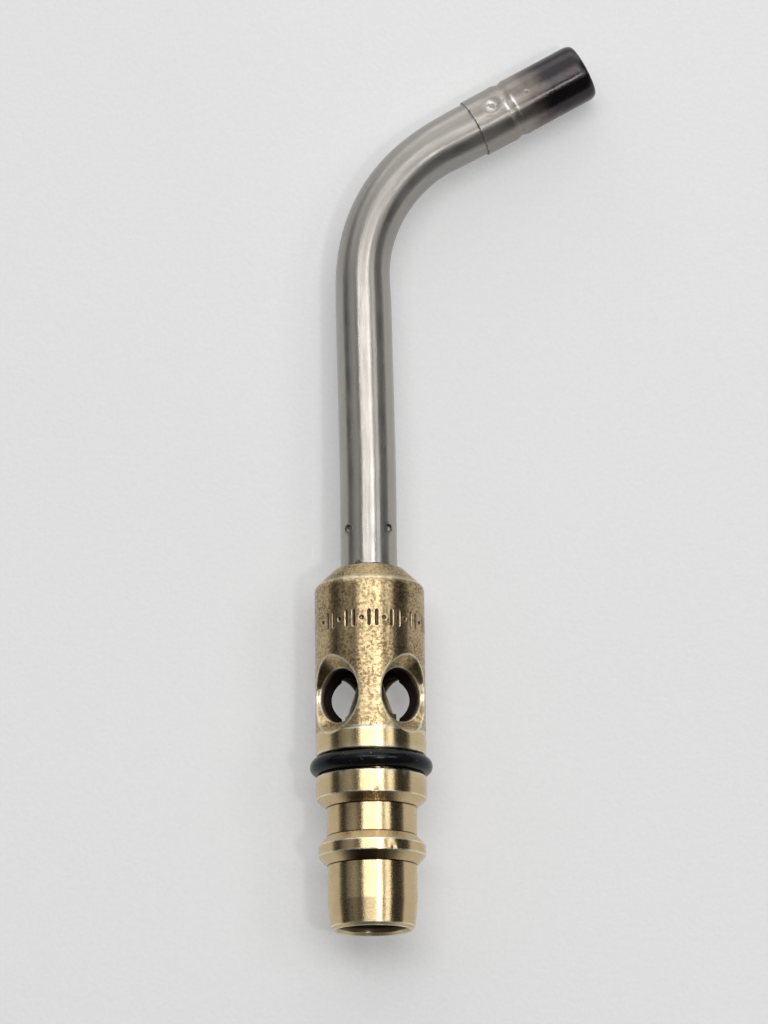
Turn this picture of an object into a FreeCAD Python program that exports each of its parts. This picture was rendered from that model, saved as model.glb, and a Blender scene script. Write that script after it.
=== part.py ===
"""Quick-connect tip for an air-acetylene hand torch, lying on its side.

Frame: the centre of the gas inlet's face is the origin, +Y runs up the barrel's axis towards the flame,
the neck bends towards +X, and +Z is up. All sizes are in millimetres and degrees.
"""

import FreeCAD, Part
import math
import os

import Sketcher
from FreeCAD import Placement, Rotation, Vector

# name, value, what it sets
SIZES = (
    # outside of the barrel, from the gas inlet upwards
    ("barrel_dia", 15.88, "barrel, turned from 5/8 inch bar"),
    ("nose_relief", 1.52, "how far the nose stands below the barrel"),
    ("nose_len", 9.25, "nose that enters the handle's socket"),
    ("nose_taper_len", 3.9, "lead-in taper on the nose"),
    ("nose_edge", 0.45, "45 degree break at the inlet's face"),
    ("ridge_relief", 0.22, "how far the locking ridge stands below the barrel"),
    ("ridge_flank", 1.35, "length of each sloping flank of the ridge"),
    ("ridge_land", 1.5, "length of the ridge's land"),
    ("lock_groove_depth", 1.49, "depth of the groove that the handle's balls drop into"),
    ("lock_groove_len", 4.15, "length of that groove's floor"),
    ("flange_flank", 1.25, "length of the flange's sloping lower side"),
    ("flange_land", 3.22, "length of the full-diameter flange"),
    ("seal_section", 2.62, "section of the O-ring"),
    ("seal_proud", 0.9, "how far the O-ring stands out of the barrel"),
    ("seal_side_room", 0.48, "width of the O-ring's groove beyond its section"),
    ("witness_above_seal", 2.95, "fine turned line above the O-ring's groove"),
    ("witness_width", 0.3, "width of that line"),
    ("witness_depth", 0.06, "depth of that line"),
    ("port_above_seal", 8.15, "centre line of the air ports above the O-ring's groove"),
    ("shoulder_above_port", 16.4, "sloping shoulder above the centre line of the ports"),
    ("shoulder_rise", 2.8, "length of the shoulder"),
    ("shoulder_lip", 0.45, "flat ring left round the neck's socket"),
    ("shoulder_round", 1.3, "rounding of the shoulder's lower edge"),
    ("edge_round", 0.2, "rounding of the ridge and flange"),
    # air ports
    ("port_dia", 7.9, "drilled air port"),
    ("port_sink", 1.7, "radial width of the port's 90 degree countersink"),
    ("port_count", 4, "air ports round the barrel"),
    ("port_first", 45.0, "angle of the first air port from +X"),
    # inside of the barrel
    ("nose_wall", 1.52, "wall between the nose and the gas inlet"),
    ("face_land", 0.3, "flat ring left at the inlet's face"),
    ("inlet_bore_len", 9.0, "depth of the gas inlet"),
    ("inlet_edge", 0.4, "chamfer at the inlet's mouth"),
    ("filter_step", 1.2, "radial step from the gas inlet in to the filter's pocket"),
    ("filter_pocket_len", 4.0, "depth of the filter's pocket"),
    ("passage_dia", 3.2, "gas passage to the jet"),
    ("floor_below_port", 0.65, "floor of the mixing chamber below the ports"),
    ("fit_gap", 0.02, "radial gap between parts that are pressed or screwed together"),
    # gas filter and its ring
    ("filter_len", 2.0, "thickness of the sintered disc"),
    ("ring_len", 0.6, "thickness of the retaining ring"),
    ("ring_wall", 0.9, "radial width of the retaining ring"),
    ("ring_bite", 0.3, "how far the ring springs into its groove"),
    ("ring_gap", 1.8, "gap between the ring's ends"),
    # gas jet
    ("jet_thread_dia", 5.0, "screwed shank"),
    ("jet_thread_len", 6.0, "length of the shank"),
    ("jet_hex", 6.6, "across the flats of the jet's hexagon"),
    ("jet_hex_len", 2.4, "height of the hexagon"),
    ("jet_hex_turn", 15.0, "where the hexagon stops when the jet is tight"),
    ("jet_cone_len", 4.6, "height of the cone above it"),
    ("jet_tip_dia", 3.6, "end of the cone"),
    ("jet_bore_dia", 2.2, "bore behind the orifice"),
    ("orifice_dia", 0.5, "gas orifice"),
    ("orifice_len", 1.2, "length of the orifice"),
    # neck tube
    ("neck_dia", 8.2, "neck tube"),
    ("neck_wall", 0.7, "wall of the neck tube"),
    ("foot_above_port", 2.95, "lower end of the neck above the ports"),
    ("braze_gap", 0.03, "radial gap filled by braze"),
    ("braze_size", 0.4, "chamfer filled by the braze ring"),
    ("lean_above_venturi", 1.0, "where the neck starts to lean away from the bend"),
    ("lean_radius", 400.0, "radius of that slight curve"),
    ("lean_turn", 0.9, "angle of the lean"),
    ("bend_above_barrel", 43.6, "start of the bend above the barrel"),
    ("bend_radius", 23.0, "centre-line radius of the bend"),
    ("bend_turn", 62.4, "turn of the bend"),
    ("run_after_bend", 5.4, "straight neck between the bend and the flame tube"),
    # stakes that hold the venturi
    ("stake_above_barrel", 5.6, "ring of stake marks in the neck above the barrel"),
    ("stake_radius", 0.6, "tip radius of the stake punch"),
    ("stake_depth", 0.4, "depth of each stake mark"),
    ("stake_push", 0.3, "how far each stake stands into the neck's bore"),
    ("stake_bump_radius", 0.45, "radius of the bump inside the bore"),
    ("stake_count", 4, "stakes round the neck"),
    # venturi
    ("venturi_inset", 3.0, "lower end of the venturi above the neck's foot"),
    ("venturi_past_stakes", 5.4, "upper end of the venturi above the stakes"),
    ("venturi_entry_wall", 0.37, "wall at the venturi's entry"),
    ("venturi_entry_len", 5.0, "converging part"),
    ("throat_dia", 3.6, "throat"),
    ("throat_len", 4.0, "length of the throat"),
    ("venturi_exit_wall", 0.57, "wall at the venturi's exit"),
    ("stake_groove_width", 1.6, "groove in the venturi for the stakes"),
    ("stake_groove_depth", 0.4, "depth of that groove"),
    # flame tube, along its own axis
    ("flame_wall", 0.28, "wall of the flame tube"),
    ("flame_gap", 0.02, "radial gap between flame tube and neck"),
    ("flame_len", 18.4, "length of the flame tube"),
    ("roll_at", 5.9, "middle of the rolled groove"),
    ("roll_width", 1.8, "width of the rolled groove"),
    ("roll_depth", 0.25, "depth of the rolled groove"),
    ("roll_clear", 0.1, "space between the neck's end and the rolled groove"),
    ("lip_len", 1.3, "rolled-in lip at the mouth"),
    ("lip_drop", 0.6, "radial fall of the lip"),
    ("dimple_at", 3.3, "punched dimple that locks the flame tube"),
    ("dimple_angle", 79.0, "angle of the dimple round the tube, from its side towards the top"),
    ("dimple_dia", 2.3, "width of the dimple"),
    ("dimple_depth", 0.16, "depth of the dimple"),
    # swirler
    ("swirler_gap", 0.2, "space between the rolled groove and the swirler"),
    ("swirler_len", 5.0, "length of the swirler"),
    ("swirler_hole_dia", 1.6, "pilot hole in the swirler"),
    ("swirl_slot_count", 6, "slanted slots round the swirler"),
    ("swirl_slot_width", 1.2, "width of each slot"),
    ("swirl_slot_depth", 1.9, "depth of each slot"),
    ("swirl_slot_angle", 35.0, "slant of each slot"),
)

doc = FreeCAD.newDocument("torch_tip")
sheet = doc.addObject("Spreadsheet::Sheet", "sizes")
for row, (name, value, note) in enumerate(SIZES, start=1):
    sheet.set(f"A{row}", name)
    sheet.set(f"B{row}", str(value))
    sheet.setAlias(f"B{row}", name)
    sheet.set(f"C{row}", note)
doc.recompute()


def cell(name):
    """The expression that reads one size."""
    return f"sizes.{name}"


def half(name):
    """The expression for half of one size, such as the radius of a diameter."""
    return f"sizes.{name} / 2"


# ---------------------------------------------------------------- sizes worked out from the sheet

# radii
BARREL_RADIUS = half("barrel_dia")
NOSE_RADIUS = f"({BARREL_RADIUS} - sizes.nose_relief)"
RIDGE_RADIUS = f"({BARREL_RADIUS} - sizes.ridge_relief)"
LOCK_GROOVE_RADIUS = f"({BARREL_RADIUS} - sizes.lock_groove_depth)"
SEAL_GROOVE_RADIUS = f"({BARREL_RADIUS} + sizes.seal_proud - sizes.seal_section - sizes.fit_gap)"
INLET_RADIUS = f"({NOSE_RADIUS} - sizes.nose_wall)"
POCKET_RADIUS = f"({INLET_RADIUS} - sizes.filter_step)"
NECK_RADIUS = half("neck_dia")
NECK_BORE = f"({NECK_RADIUS} - sizes.neck_wall)"
SOCKET_RADIUS = f"({NECK_RADIUS} + sizes.braze_gap)"
PORT_RADIUS = half("port_dia")
FLAME_BORE = f"({NECK_RADIUS} + sizes.flame_gap)"
FLAME_RADIUS = f"({FLAME_BORE} + sizes.flame_wall)"

# places along the barrel, from the inlet's face
RIDGE_START = "(sizes.nose_len + sizes.ridge_flank)"
RIDGE_END = f"({RIDGE_START} + sizes.ridge_land)"
LOCK_GROOVE_START = f"({RIDGE_END} + sizes.ridge_flank)"
LOCK_GROOVE_END = f"({LOCK_GROOVE_START} + sizes.lock_groove_len)"
FLANGE_START = f"({LOCK_GROOVE_END} + sizes.flange_flank)"
SEAL_GROOVE_START = f"({FLANGE_START} + sizes.flange_land)"
SEAL_GROOVE_END = f"({SEAL_GROOVE_START} + sizes.seal_section + sizes.seal_side_room)"
WITNESS_AT = f"({SEAL_GROOVE_END} + sizes.witness_above_seal)"
PORT_AT = f"({SEAL_GROOVE_END} + sizes.port_above_seal)"
SHOULDER_AT = f"({PORT_AT} + sizes.shoulder_above_port)"
BARREL_TOP = f"({SHOULDER_AT} + sizes.shoulder_rise)"
FILTER_SEAT = "(sizes.inlet_bore_len + sizes.filter_pocket_len)"
RING_TOP = f"({FILTER_SEAT} - sizes.filter_len)"
RING_FOOT = f"({RING_TOP} - sizes.ring_len)"
CHAMBER_FLOOR = f"({PORT_AT} - {PORT_RADIUS} - sizes.floor_below_port)"
JET_FOOT = f"({CHAMBER_FLOOR} - sizes.jet_thread_len)"
NECK_FOOT = f"({PORT_AT} + {PORT_RADIUS} + sizes.foot_above_port)"
STAKE_AT = f"({BARREL_TOP} + sizes.stake_above_barrel)"
VENTURI_START = f"({NECK_FOOT} + sizes.venturi_inset)"
VENTURI_END = f"({STAKE_AT} + sizes.venturi_past_stakes)"

# places along the flame tube, from its lower end
ROLL_START = f"(sizes.roll_at - {half('roll_width')})"
ROLL_END = f"(sizes.roll_at + {half('roll_width')})"
FLAME_LAP = f"({ROLL_START} - sizes.roll_clear)"

# The neck's centre line: straight, a slight lean towards -X, straight, the bend towards +X, straight.
# Heading is the angle of the centre line from +Y, turning towards +X.
HEADING = "(sizes.bend_turn - sizes.lean_turn)"
LEAN_START_Y = f"({VENTURI_END} + sizes.lean_above_venturi)"
LEAN_END_X = "(-sizes.lean_radius * (1 - cos(sizes.lean_turn)))"
LEAN_END_Y = f"({LEAN_START_Y} + sizes.lean_radius * sin(sizes.lean_turn))"
BEND_START_Y = f"({BARREL_TOP} + sizes.bend_above_barrel)"
BEND_START_X = f"({LEAN_END_X} - tan(sizes.lean_turn) * ({BEND_START_Y} - {LEAN_END_Y}))"
BEND_END_X = f"({BEND_START_X} + sizes.bend_radius * (cos(sizes.lean_turn) - cos({HEADING})))"
BEND_END_Y = f"({BEND_START_Y} + sizes.bend_radius * (sin(sizes.lean_turn) + sin({HEADING})))"


def past_bend(distance):
    """The x and y expressions of a point on the last straight, this far past the bend."""
    return f"{BEND_END_X} + ({distance}) * sin({HEADING})", f"{BEND_END_Y} + ({distance}) * cos({HEADING})"


# ---------------------------------------------------------------- drawing helpers


def measure(expression):
    """The value of an expression now, as a plain number."""
    value = sheet.evalExpression(str(expression))
    return float(getattr(value, "Value", value))


def new_body(name):
    body = doc.addObject("PartDesign::Body", name)
    body.Label = name
    return body


def origin_feature(body, role):
    """The body's own plane or axis of this role, such as XY_Plane."""
    return next(f for f in body.Origin.OriginFeatures if f.Role == role)


def new_sketch(body, name, plane="XY_Plane"):
    sketch = body.newObject("Sketcher::SketchObject", name)
    sketch.AttachmentSupport = (origin_feature(body, plane), [""])
    sketch.MapMode = "FlatFace"
    return sketch


def bind(sketch, kind, places, expression):
    """Add one dimension to a sketch and tie it to an expression."""
    index = sketch.addConstraint(Sketcher.Constraint(kind, *places, measure(expression)))
    sketch.setExpression(f"Constraints[{index}]", str(expression))


def bind_point(sketch, edge, end, across, along):
    """Tie one end of an edge to a place in the sketch. A zero keeps it on an axis."""
    for kind, axis, expression in (("DistanceX", -2, across), ("DistanceY", -1, along)):
        if str(expression) == "0":
            sketch.addConstraint(Sketcher.Constraint("PointOnObject", edge, end, axis))
        else:
            bind(sketch, kind, (-1, 1, edge, end), expression)


def draw_outline(sketch, corners):
    """A closed outline of straight edges through corners, each a pair of expressions."""
    points = [Vector(measure(across), measure(along), 0) for across, along in corners]
    count = len(points)
    for index, start in enumerate(points):
        sketch.addGeometry(Part.LineSegment(start, points[(index + 1) % count]))
    for index in range(count):
        sketch.addConstraint(Sketcher.Constraint("Coincident", index, 2, (index + 1) % count, 1))
    for index, (across, along) in enumerate(corners):
        bind_point(sketch, index, 1, across, along)


def draw_circle(sketch, radius):
    """A circle of this radius about the sketch's origin."""
    circle = sketch.addGeometry(Part.Circle(Vector(0, 0, 0), Vector(0, 0, 1), measure(radius)))
    sketch.addConstraint(Sketcher.Constraint("Coincident", circle, 3, -1, 1))
    bind(sketch, "Radius", (circle,), radius)


def turn_outline(body, name, corners):
    """Turn a closed half section, drawn in X and Y, about the body's Y axis."""
    sketch = new_sketch(body, f"{name}_section")
    draw_outline(sketch, corners)
    turned = body.newObject("PartDesign::Revolution", name)
    turned.Profile = sketch
    turned.ReferenceAxis = (origin_feature(body, "Y_Axis"), [""])
    turned.Angle = 360
    return turned


def repeat_round_y(body, name, feature, count):
    """Repeat one feature at even angles about the body's Y axis."""
    pattern = body.newObject("PartDesign::PolarPattern", name)
    pattern.Originals = [feature]
    pattern.Axis = (origin_feature(body, "Y_Axis"), [""])
    pattern.Angle = 360
    pattern.setExpression("Occurrences", cell(count))
    body.Tip = pattern
    return pattern


def circular_edges(shape, radius, along):
    """Names of the circular edges of this radius at this place along Y."""
    found = []
    for index, edge in enumerate(shape.Edges, start=1):
        is_circle = isinstance(edge.Curve, Part.Circle)
        if is_circle and abs(edge.Curve.Radius - radius) < 1e-4 and abs(edge.Curve.Center.y - along) < 1e-4:
            found.append(f"Edge{index}")
    return found


def round_edges(body, name, feature, radius, rings):
    """Round the circular edges named by their radius and place along Y."""
    doc.recompute()
    names = []
    for ring_radius, along in rings:
        names += circular_edges(feature.Shape, measure(ring_radius), measure(along))
    fillet = body.newObject("PartDesign::Fillet", name)
    fillet.Base = (feature, names)
    fillet.setExpression("Radius", radius)
    return fillet


def stand_on_tip(thing, distance):
    """Place a piece drawn along its own Y on the neck's last straight, this far past the bend."""
    across, along = past_bend(distance)
    thing.Placement = Placement(Vector(0, 0, 0), Rotation(Vector(0, 0, -1), measure(HEADING)))
    thing.setExpression("Placement.Base.x", across)
    thing.setExpression("Placement.Base.y", along)
    thing.setExpression("Placement.Rotation.Angle", HEADING)


# ---------------------------------------------------------------- sub-parts


def make_barrel():
    """Turned brass barrel: quick-connect nose, ridge, grooves, chamber and countersunk air ports."""
    body = new_body("barrel")
    face = f"({INLET_RADIUS} + sizes.inlet_edge + sizes.face_land)"
    ring_groove = f"({POCKET_RADIUS} + sizes.ring_bite)"
    jet_hole = f"({half('jet_thread_dia')} + sizes.fit_gap)"
    braze_rim = f"({SOCKET_RADIUS} + sizes.braze_size)"
    turned = turn_outline(body, "barrel_turned", (
        # up the outside
        (f"{INLET_RADIUS} + sizes.inlet_edge", "0"),
        (face, "0"),
        (f"{face} + sizes.nose_edge", cell("nose_edge")),
        (NOSE_RADIUS, cell("nose_taper_len")),
        (NOSE_RADIUS, cell("nose_len")),
        (RIDGE_RADIUS, RIDGE_START),
        (RIDGE_RADIUS, RIDGE_END),
        (LOCK_GROOVE_RADIUS, LOCK_GROOVE_START),
        (LOCK_GROOVE_RADIUS, LOCK_GROOVE_END),
        (BARREL_RADIUS, FLANGE_START),
        (BARREL_RADIUS, SEAL_GROOVE_START),
        (SEAL_GROOVE_RADIUS, SEAL_GROOVE_START),
        (SEAL_GROOVE_RADIUS, SEAL_GROOVE_END),
        (BARREL_RADIUS, SEAL_GROOVE_END),
        (BARREL_RADIUS, f"{WITNESS_AT} - {half('witness_width')}"),
        (f"{BARREL_RADIUS} - sizes.witness_depth", WITNESS_AT),
        (BARREL_RADIUS, f"{WITNESS_AT} + {half('witness_width')}"),
        (BARREL_RADIUS, SHOULDER_AT),
        (f"{braze_rim} + sizes.shoulder_lip", BARREL_TOP),
        # down the inside
        (braze_rim, BARREL_TOP),
        (SOCKET_RADIUS, f"{BARREL_TOP} - sizes.braze_size"),
        (SOCKET_RADIUS, CHAMBER_FLOOR),
        (jet_hole, CHAMBER_FLOOR),
        (jet_hole, JET_FOOT),
        (half("passage_dia"), JET_FOOT),
        (half("passage_dia"), FILTER_SEAT),
        (POCKET_RADIUS, FILTER_SEAT),
        (POCKET_RADIUS, RING_TOP),
        (ring_groove, RING_TOP),
        (ring_groove, RING_FOOT),
        (POCKET_RADIUS, RING_FOOT),
        (POCKET_RADIUS, cell("inlet_bore_len")),
        (INLET_RADIUS, cell("inlet_bore_len")),
        (INLET_RADIUS, cell("inlet_edge")),
    ))
    rounded = round_edges(body, "barrel_shoulder_round", turned, cell("shoulder_round"), (
        (BARREL_RADIUS, SHOULDER_AT),
    ))
    broken = round_edges(body, "barrel_edge_breaks", rounded, cell("edge_round"), (
        (RIDGE_RADIUS, RIDGE_START),
        (RIDGE_RADIUS, RIDGE_END),
        (BARREL_RADIUS, FLANGE_START),
        (BARREL_RADIUS, SEAL_GROOVE_START),
        (BARREL_RADIUS, SEAL_GROOVE_END),
    ))
    body.Tip = broken

    # One port is the half section of a drill and its 90 degree countersink, turned about the port's axis.
    section = new_sketch(body, "port_section")
    first_angle = measure(cell("port_first"))
    section.AttachmentOffset = Placement(Vector(0, 0, 0), Rotation(Vector(0, -1, 0), first_angle))
    section.setExpression("AttachmentOffset.Base.y", PORT_AT)
    section.setExpression("AttachmentOffset.Rotation.Angle", cell("port_first"))
    clear = f"{BARREL_RADIUS} + {PORT_RADIUS}"
    draw_outline(section, (
        ("0", "0"),
        (clear, "0"),
        (clear, f"2 * {PORT_RADIUS} + sizes.port_sink"),
        (f"{BARREL_RADIUS} - sizes.port_sink", PORT_RADIUS),
        ("0", PORT_RADIUS),
    ))
    port = body.newObject("PartDesign::Groove", "port")
    port.Profile = section
    port.ReferenceAxis = (section, ["H_Axis"])
    port.Angle = 360
    repeat_round_y(body, "ports", port, "port_count")
    return body


def make_o_ring():
    """Nitrile ring seated on the floor of its groove."""
    ring = doc.addObject("Part::Torus", "inlet_o_ring")
    ring.Label = "inlet_o_ring"
    ring.setExpression("Radius2", half("seal_section"))
    ring.setExpression("Radius1", f"{SEAL_GROOVE_RADIUS} + {half('seal_section')} + sizes.fit_gap")
    ring.Placement = Placement(Vector(0, 0, 0), Rotation(Vector(1, 0, 0), -90))
    ring.setExpression("Placement.Base.y", f"({SEAL_GROOVE_START} + {SEAL_GROOVE_END}) / 2")
    return ring


def make_filter():
    """Sintered bronze disc on its seat in the inlet."""
    disc = doc.addObject("Part::Cylinder", "gas_filter")
    disc.Label = "gas_filter"
    disc.setExpression("Radius", f"{POCKET_RADIUS} - sizes.fit_gap")
    disc.setExpression("Height", cell("filter_len"))
    disc.Placement = Placement(Vector(0, 0, 0), Rotation(Vector(1, 0, 0), -90))
    disc.setExpression("Placement.Base.y", RING_TOP)
    return disc


def make_retainer():
    """Split spring ring that holds the filter, sprung into a groove in the inlet."""
    body = new_body("filter_retainer")
    outer = f"({POCKET_RADIUS} + sizes.ring_bite - sizes.fit_gap)"
    inner = f"({outer} - sizes.ring_wall)"
    turn_outline(body, "ring_turned", (
        (inner, RING_FOOT),
        (outer, RING_FOOT),
        (outer, RING_TOP),
        (inner, RING_TOP),
    ))
    gap = body.newObject("PartDesign::SubtractiveBox", "ring_ends")
    gap.setExpression("Length", cell("ring_gap"))
    gap.setExpression("Width", "2 * sizes.ring_len")
    gap.setExpression("Height", INLET_RADIUS)
    gap.setExpression("Placement.Base.x", "-sizes.ring_gap / 2")
    gap.setExpression("Placement.Base.y", f"{RING_FOOT} - sizes.ring_len / 2")
    body.Tip = gap
    return body


def make_jet():
    """Brass gas jet: screwed shank, hexagon and a cone with the orifice at its end."""
    body = new_body("gas_jet")
    hexagon = new_sketch(body, "jet_hexagon", "XZ_Plane")
    hexagon.setExpression("AttachmentOffset.Base.z", f"-{CHAMBER_FLOOR}")
    corners = []
    for index in range(6):
        angle = f"{60 * index} + sizes.jet_hex_turn"
        corners.append((
            f"sizes.jet_hex / sqrt(3) * cos({angle})",
            f"sizes.jet_hex / sqrt(3) * sin({angle})",
        ))
    draw_outline(hexagon, corners)
    head = body.newObject("PartDesign::Pad", "jet_head")
    head.Profile = hexagon
    head.Reversed = True
    head.setExpression("Length", cell("jet_hex_len"))
    hex_top = f"({CHAMBER_FLOOR} + sizes.jet_hex_len)"
    hex_middle = f"({CHAMBER_FLOOR} + {half('jet_hex_len')})"
    tip = f"({hex_top} + sizes.jet_cone_len)"
    turn_outline(body, "jet_turned", (
        ("0", JET_FOOT),
        (half("jet_thread_dia"), JET_FOOT),
        (half("jet_thread_dia"), hex_middle),
        (half("jet_hex"), hex_middle),
        (half("jet_hex"), hex_top),
        (half("jet_tip_dia"), tip),
        ("0", tip),
    ))
    bore = new_sketch(body, "jet_bore_section")
    bore_end = f"({tip} - sizes.orifice_len)"
    draw_outline(bore, (
        ("0", f"{JET_FOOT} - 1"),
        (half("jet_bore_dia"), f"{JET_FOOT} - 1"),
        (half("jet_bore_dia"), f"{bore_end} - {half('jet_bore_dia')}"),
        (half("orifice_dia"), f"{bore_end} - {half('orifice_dia')}"),
        (half("orifice_dia"), f"{tip} + 1"),
        ("0", f"{tip} + 1"),
    ))
    drilled = body.newObject("PartDesign::Groove", "jet_bore")
    drilled.Profile = bore
    drilled.ReferenceAxis = (origin_feature(body, "Y_Axis"), [""])
    drilled.Angle = 360
    body.Tip = drilled
    return body


def make_venturi():
    """Insert in the neck's foot with a converging entry, a throat and a diverging exit."""
    body = new_body("venturi_insert")
    outer = f"({NECK_BORE} - sizes.braze_gap)"
    throat_start = f"({VENTURI_START} + sizes.venturi_entry_len)"
    groove_start = f"({STAKE_AT} - {half('stake_groove_width')})"
    groove_end = f"({STAKE_AT} + {half('stake_groove_width')})"
    groove_floor = f"({outer} - sizes.stake_groove_depth)"
    turned = turn_outline(body, "venturi_turned", (
        (f"{outer} - sizes.venturi_entry_wall", VENTURI_START),
        (outer, VENTURI_START),
        (outer, groove_start),
        (groove_floor, groove_start),
        (groove_floor, groove_end),
        (outer, groove_end),
        (outer, VENTURI_END),
        (f"{outer} - sizes.venturi_exit_wall", VENTURI_END),
        (half("throat_dia"), f"{throat_start} + sizes.throat_len"),
        (half("throat_dia"), throat_start),
    ))
    body.Tip = turned
    return body


def make_neck():
    """Bent stainless tube with four stake marks that hold the venturi."""
    body = new_body("neck_tube")
    route = new_sketch(body, "neck_route")
    places = (
        ("0", NECK_FOOT),
        ("0", LEAN_START_Y),
        (LEAN_END_X, LEAN_END_Y),
        (BEND_START_X, BEND_START_Y),
        (BEND_END_X, BEND_END_Y),
        past_bend(f"sizes.run_after_bend + {FLAME_LAP}"),
    )
    points = [Vector(measure(across), measure(along), 0) for across, along in places]
    lean = math.radians(measure(cell("lean_turn")))
    heading = math.radians(measure(HEADING))
    lean_radius = measure(cell("lean_radius"))
    bend_radius = measure(cell("bend_radius"))
    lean_centre = Vector(-lean_radius, points[1].y, 0)
    bend_centre = points[3] + Vector(math.cos(lean), math.sin(lean), 0) * bend_radius
    lean_circle = Part.Circle(lean_centre, Vector(0, 0, 1), lean_radius)
    bend_circle = Part.Circle(bend_centre, Vector(0, 0, 1), bend_radius)
    # arcs run anticlockwise, so the lean starts at its lower end and the bend at its far end
    route.addGeometry(Part.LineSegment(points[0], points[1]))
    route.addGeometry(Part.ArcOfCircle(lean_circle, 0, lean))
    route.addGeometry(Part.LineSegment(points[2], points[3]))
    route.addGeometry(Part.ArcOfCircle(bend_circle, math.pi - heading, math.pi + lean))
    route.addGeometry(Part.LineSegment(points[4], points[5]))
    for first, second in (((0, 2), (1, 1)), ((1, 2), (2, 1)), ((2, 2), (3, 2)), ((3, 1), (4, 1))):
        route.addConstraint(Sketcher.Constraint("Coincident", *first, *second))
    for (edge, end), (across, along) in zip(((0, 1), (0, 2), (2, 1), (2, 2), (4, 1), (4, 2)), places):
        bind_point(route, edge, end, across, along)
    bind(route, "Radius", (1,), cell("lean_radius"))
    bind(route, "Radius", (3,), cell("bend_radius"))

    for kind, name, radius in (
        ("PartDesign::AdditivePipe", "neck_outside", NECK_RADIUS),
        ("PartDesign::SubtractivePipe", "neck_bore", NECK_BORE),
    ):
        section = new_sketch(body, f"{name}_section", "XZ_Plane")
        section.setExpression("AttachmentOffset.Base.z", f"-{NECK_FOOT}")
        draw_circle(section, radius)
        pipe = body.newObject(kind, name)
        pipe.Profile = section
        pipe.Spine = (route, [])

    bump = body.newObject("PartDesign::AdditiveSphere", "stake_bump")
    bump.setExpression("Radius", cell("stake_bump_radius"))
    place_round_neck(bump, f"{NECK_BORE} - sizes.stake_push + sizes.stake_bump_radius")
    repeat_round_y(body, "stake_bumps", bump, "stake_count")
    dent = body.newObject("PartDesign::SubtractiveSphere", "stake_dent")
    dent.setExpression("Radius", cell("stake_radius"))
    place_round_neck(dent, f"{NECK_RADIUS} + sizes.stake_radius - sizes.stake_depth")
    repeat_round_y(body, "stake_dents", dent, "stake_count")
    return body


def place_round_neck(feature, radius):
    """Put a stake's sphere at this radius, in line with the first air port."""
    feature.setExpression("Placement.Base.x", f"({radius}) * cos(sizes.port_first)")
    feature.setExpression("Placement.Base.y", STAKE_AT)
    feature.setExpression("Placement.Base.z", f"({radius}) * sin(sizes.port_first)")


def make_braze():
    """Silver braze in the chamfer where the neck enters the barrel."""
    body = new_body("braze_ring")
    foot = f"({BARREL_TOP} - sizes.braze_size)"
    turned = turn_outline(body, "braze_turned", (
        (NECK_RADIUS, f"{foot} - sizes.braze_size"),
        (SOCKET_RADIUS, f"{foot} - sizes.braze_size"),
        (SOCKET_RADIUS, foot),
        (f"{SOCKET_RADIUS} + sizes.braze_size", BARREL_TOP),
        (NECK_RADIUS, f"{BARREL_TOP} + sizes.braze_size"),
    ))
    body.Tip = turned
    return body


def make_flame_tube():
    """Thin stainless sleeve on the neck's end, with a rolled groove, a dimple and a rolled-in lip."""
    body = new_body("flame_tube")
    lip_start = "(sizes.flame_len - sizes.lip_len)"
    outside = [
        (FLAME_RADIUS, "0"),
        (FLAME_RADIUS, ROLL_START),
        (f"{FLAME_RADIUS} - sizes.roll_depth", cell("roll_at")),
        (FLAME_RADIUS, ROLL_END),
        (FLAME_RADIUS, lip_start),
        (f"{FLAME_RADIUS} - sizes.lip_drop", cell("flame_len")),
    ]
    inside = [(f"{across} - sizes.flame_wall", along) for across, along in reversed(outside)]
    turn_outline(body, "flame_turned", outside + inside)
    dimple = body.newObject("PartDesign::SubtractiveSphere", "lock_dimple")
    dimple_radius = "((sizes.dimple_dia ^ 2 / 4 + sizes.dimple_depth ^ 2) / (2 * sizes.dimple_depth))"
    reach = f"({FLAME_RADIUS} - sizes.dimple_depth + {dimple_radius})"
    dimple.setExpression("Radius", dimple_radius)
    dimple.setExpression("Placement.Base.x", f"-{reach} * cos(sizes.dimple_angle)")
    dimple.setExpression("Placement.Base.y", cell("dimple_at"))
    dimple.setExpression("Placement.Base.z", f"{reach} * sin(sizes.dimple_angle)")
    body.Tip = dimple
    stand_on_tip(body, cell("run_after_bend"))
    return body


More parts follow.
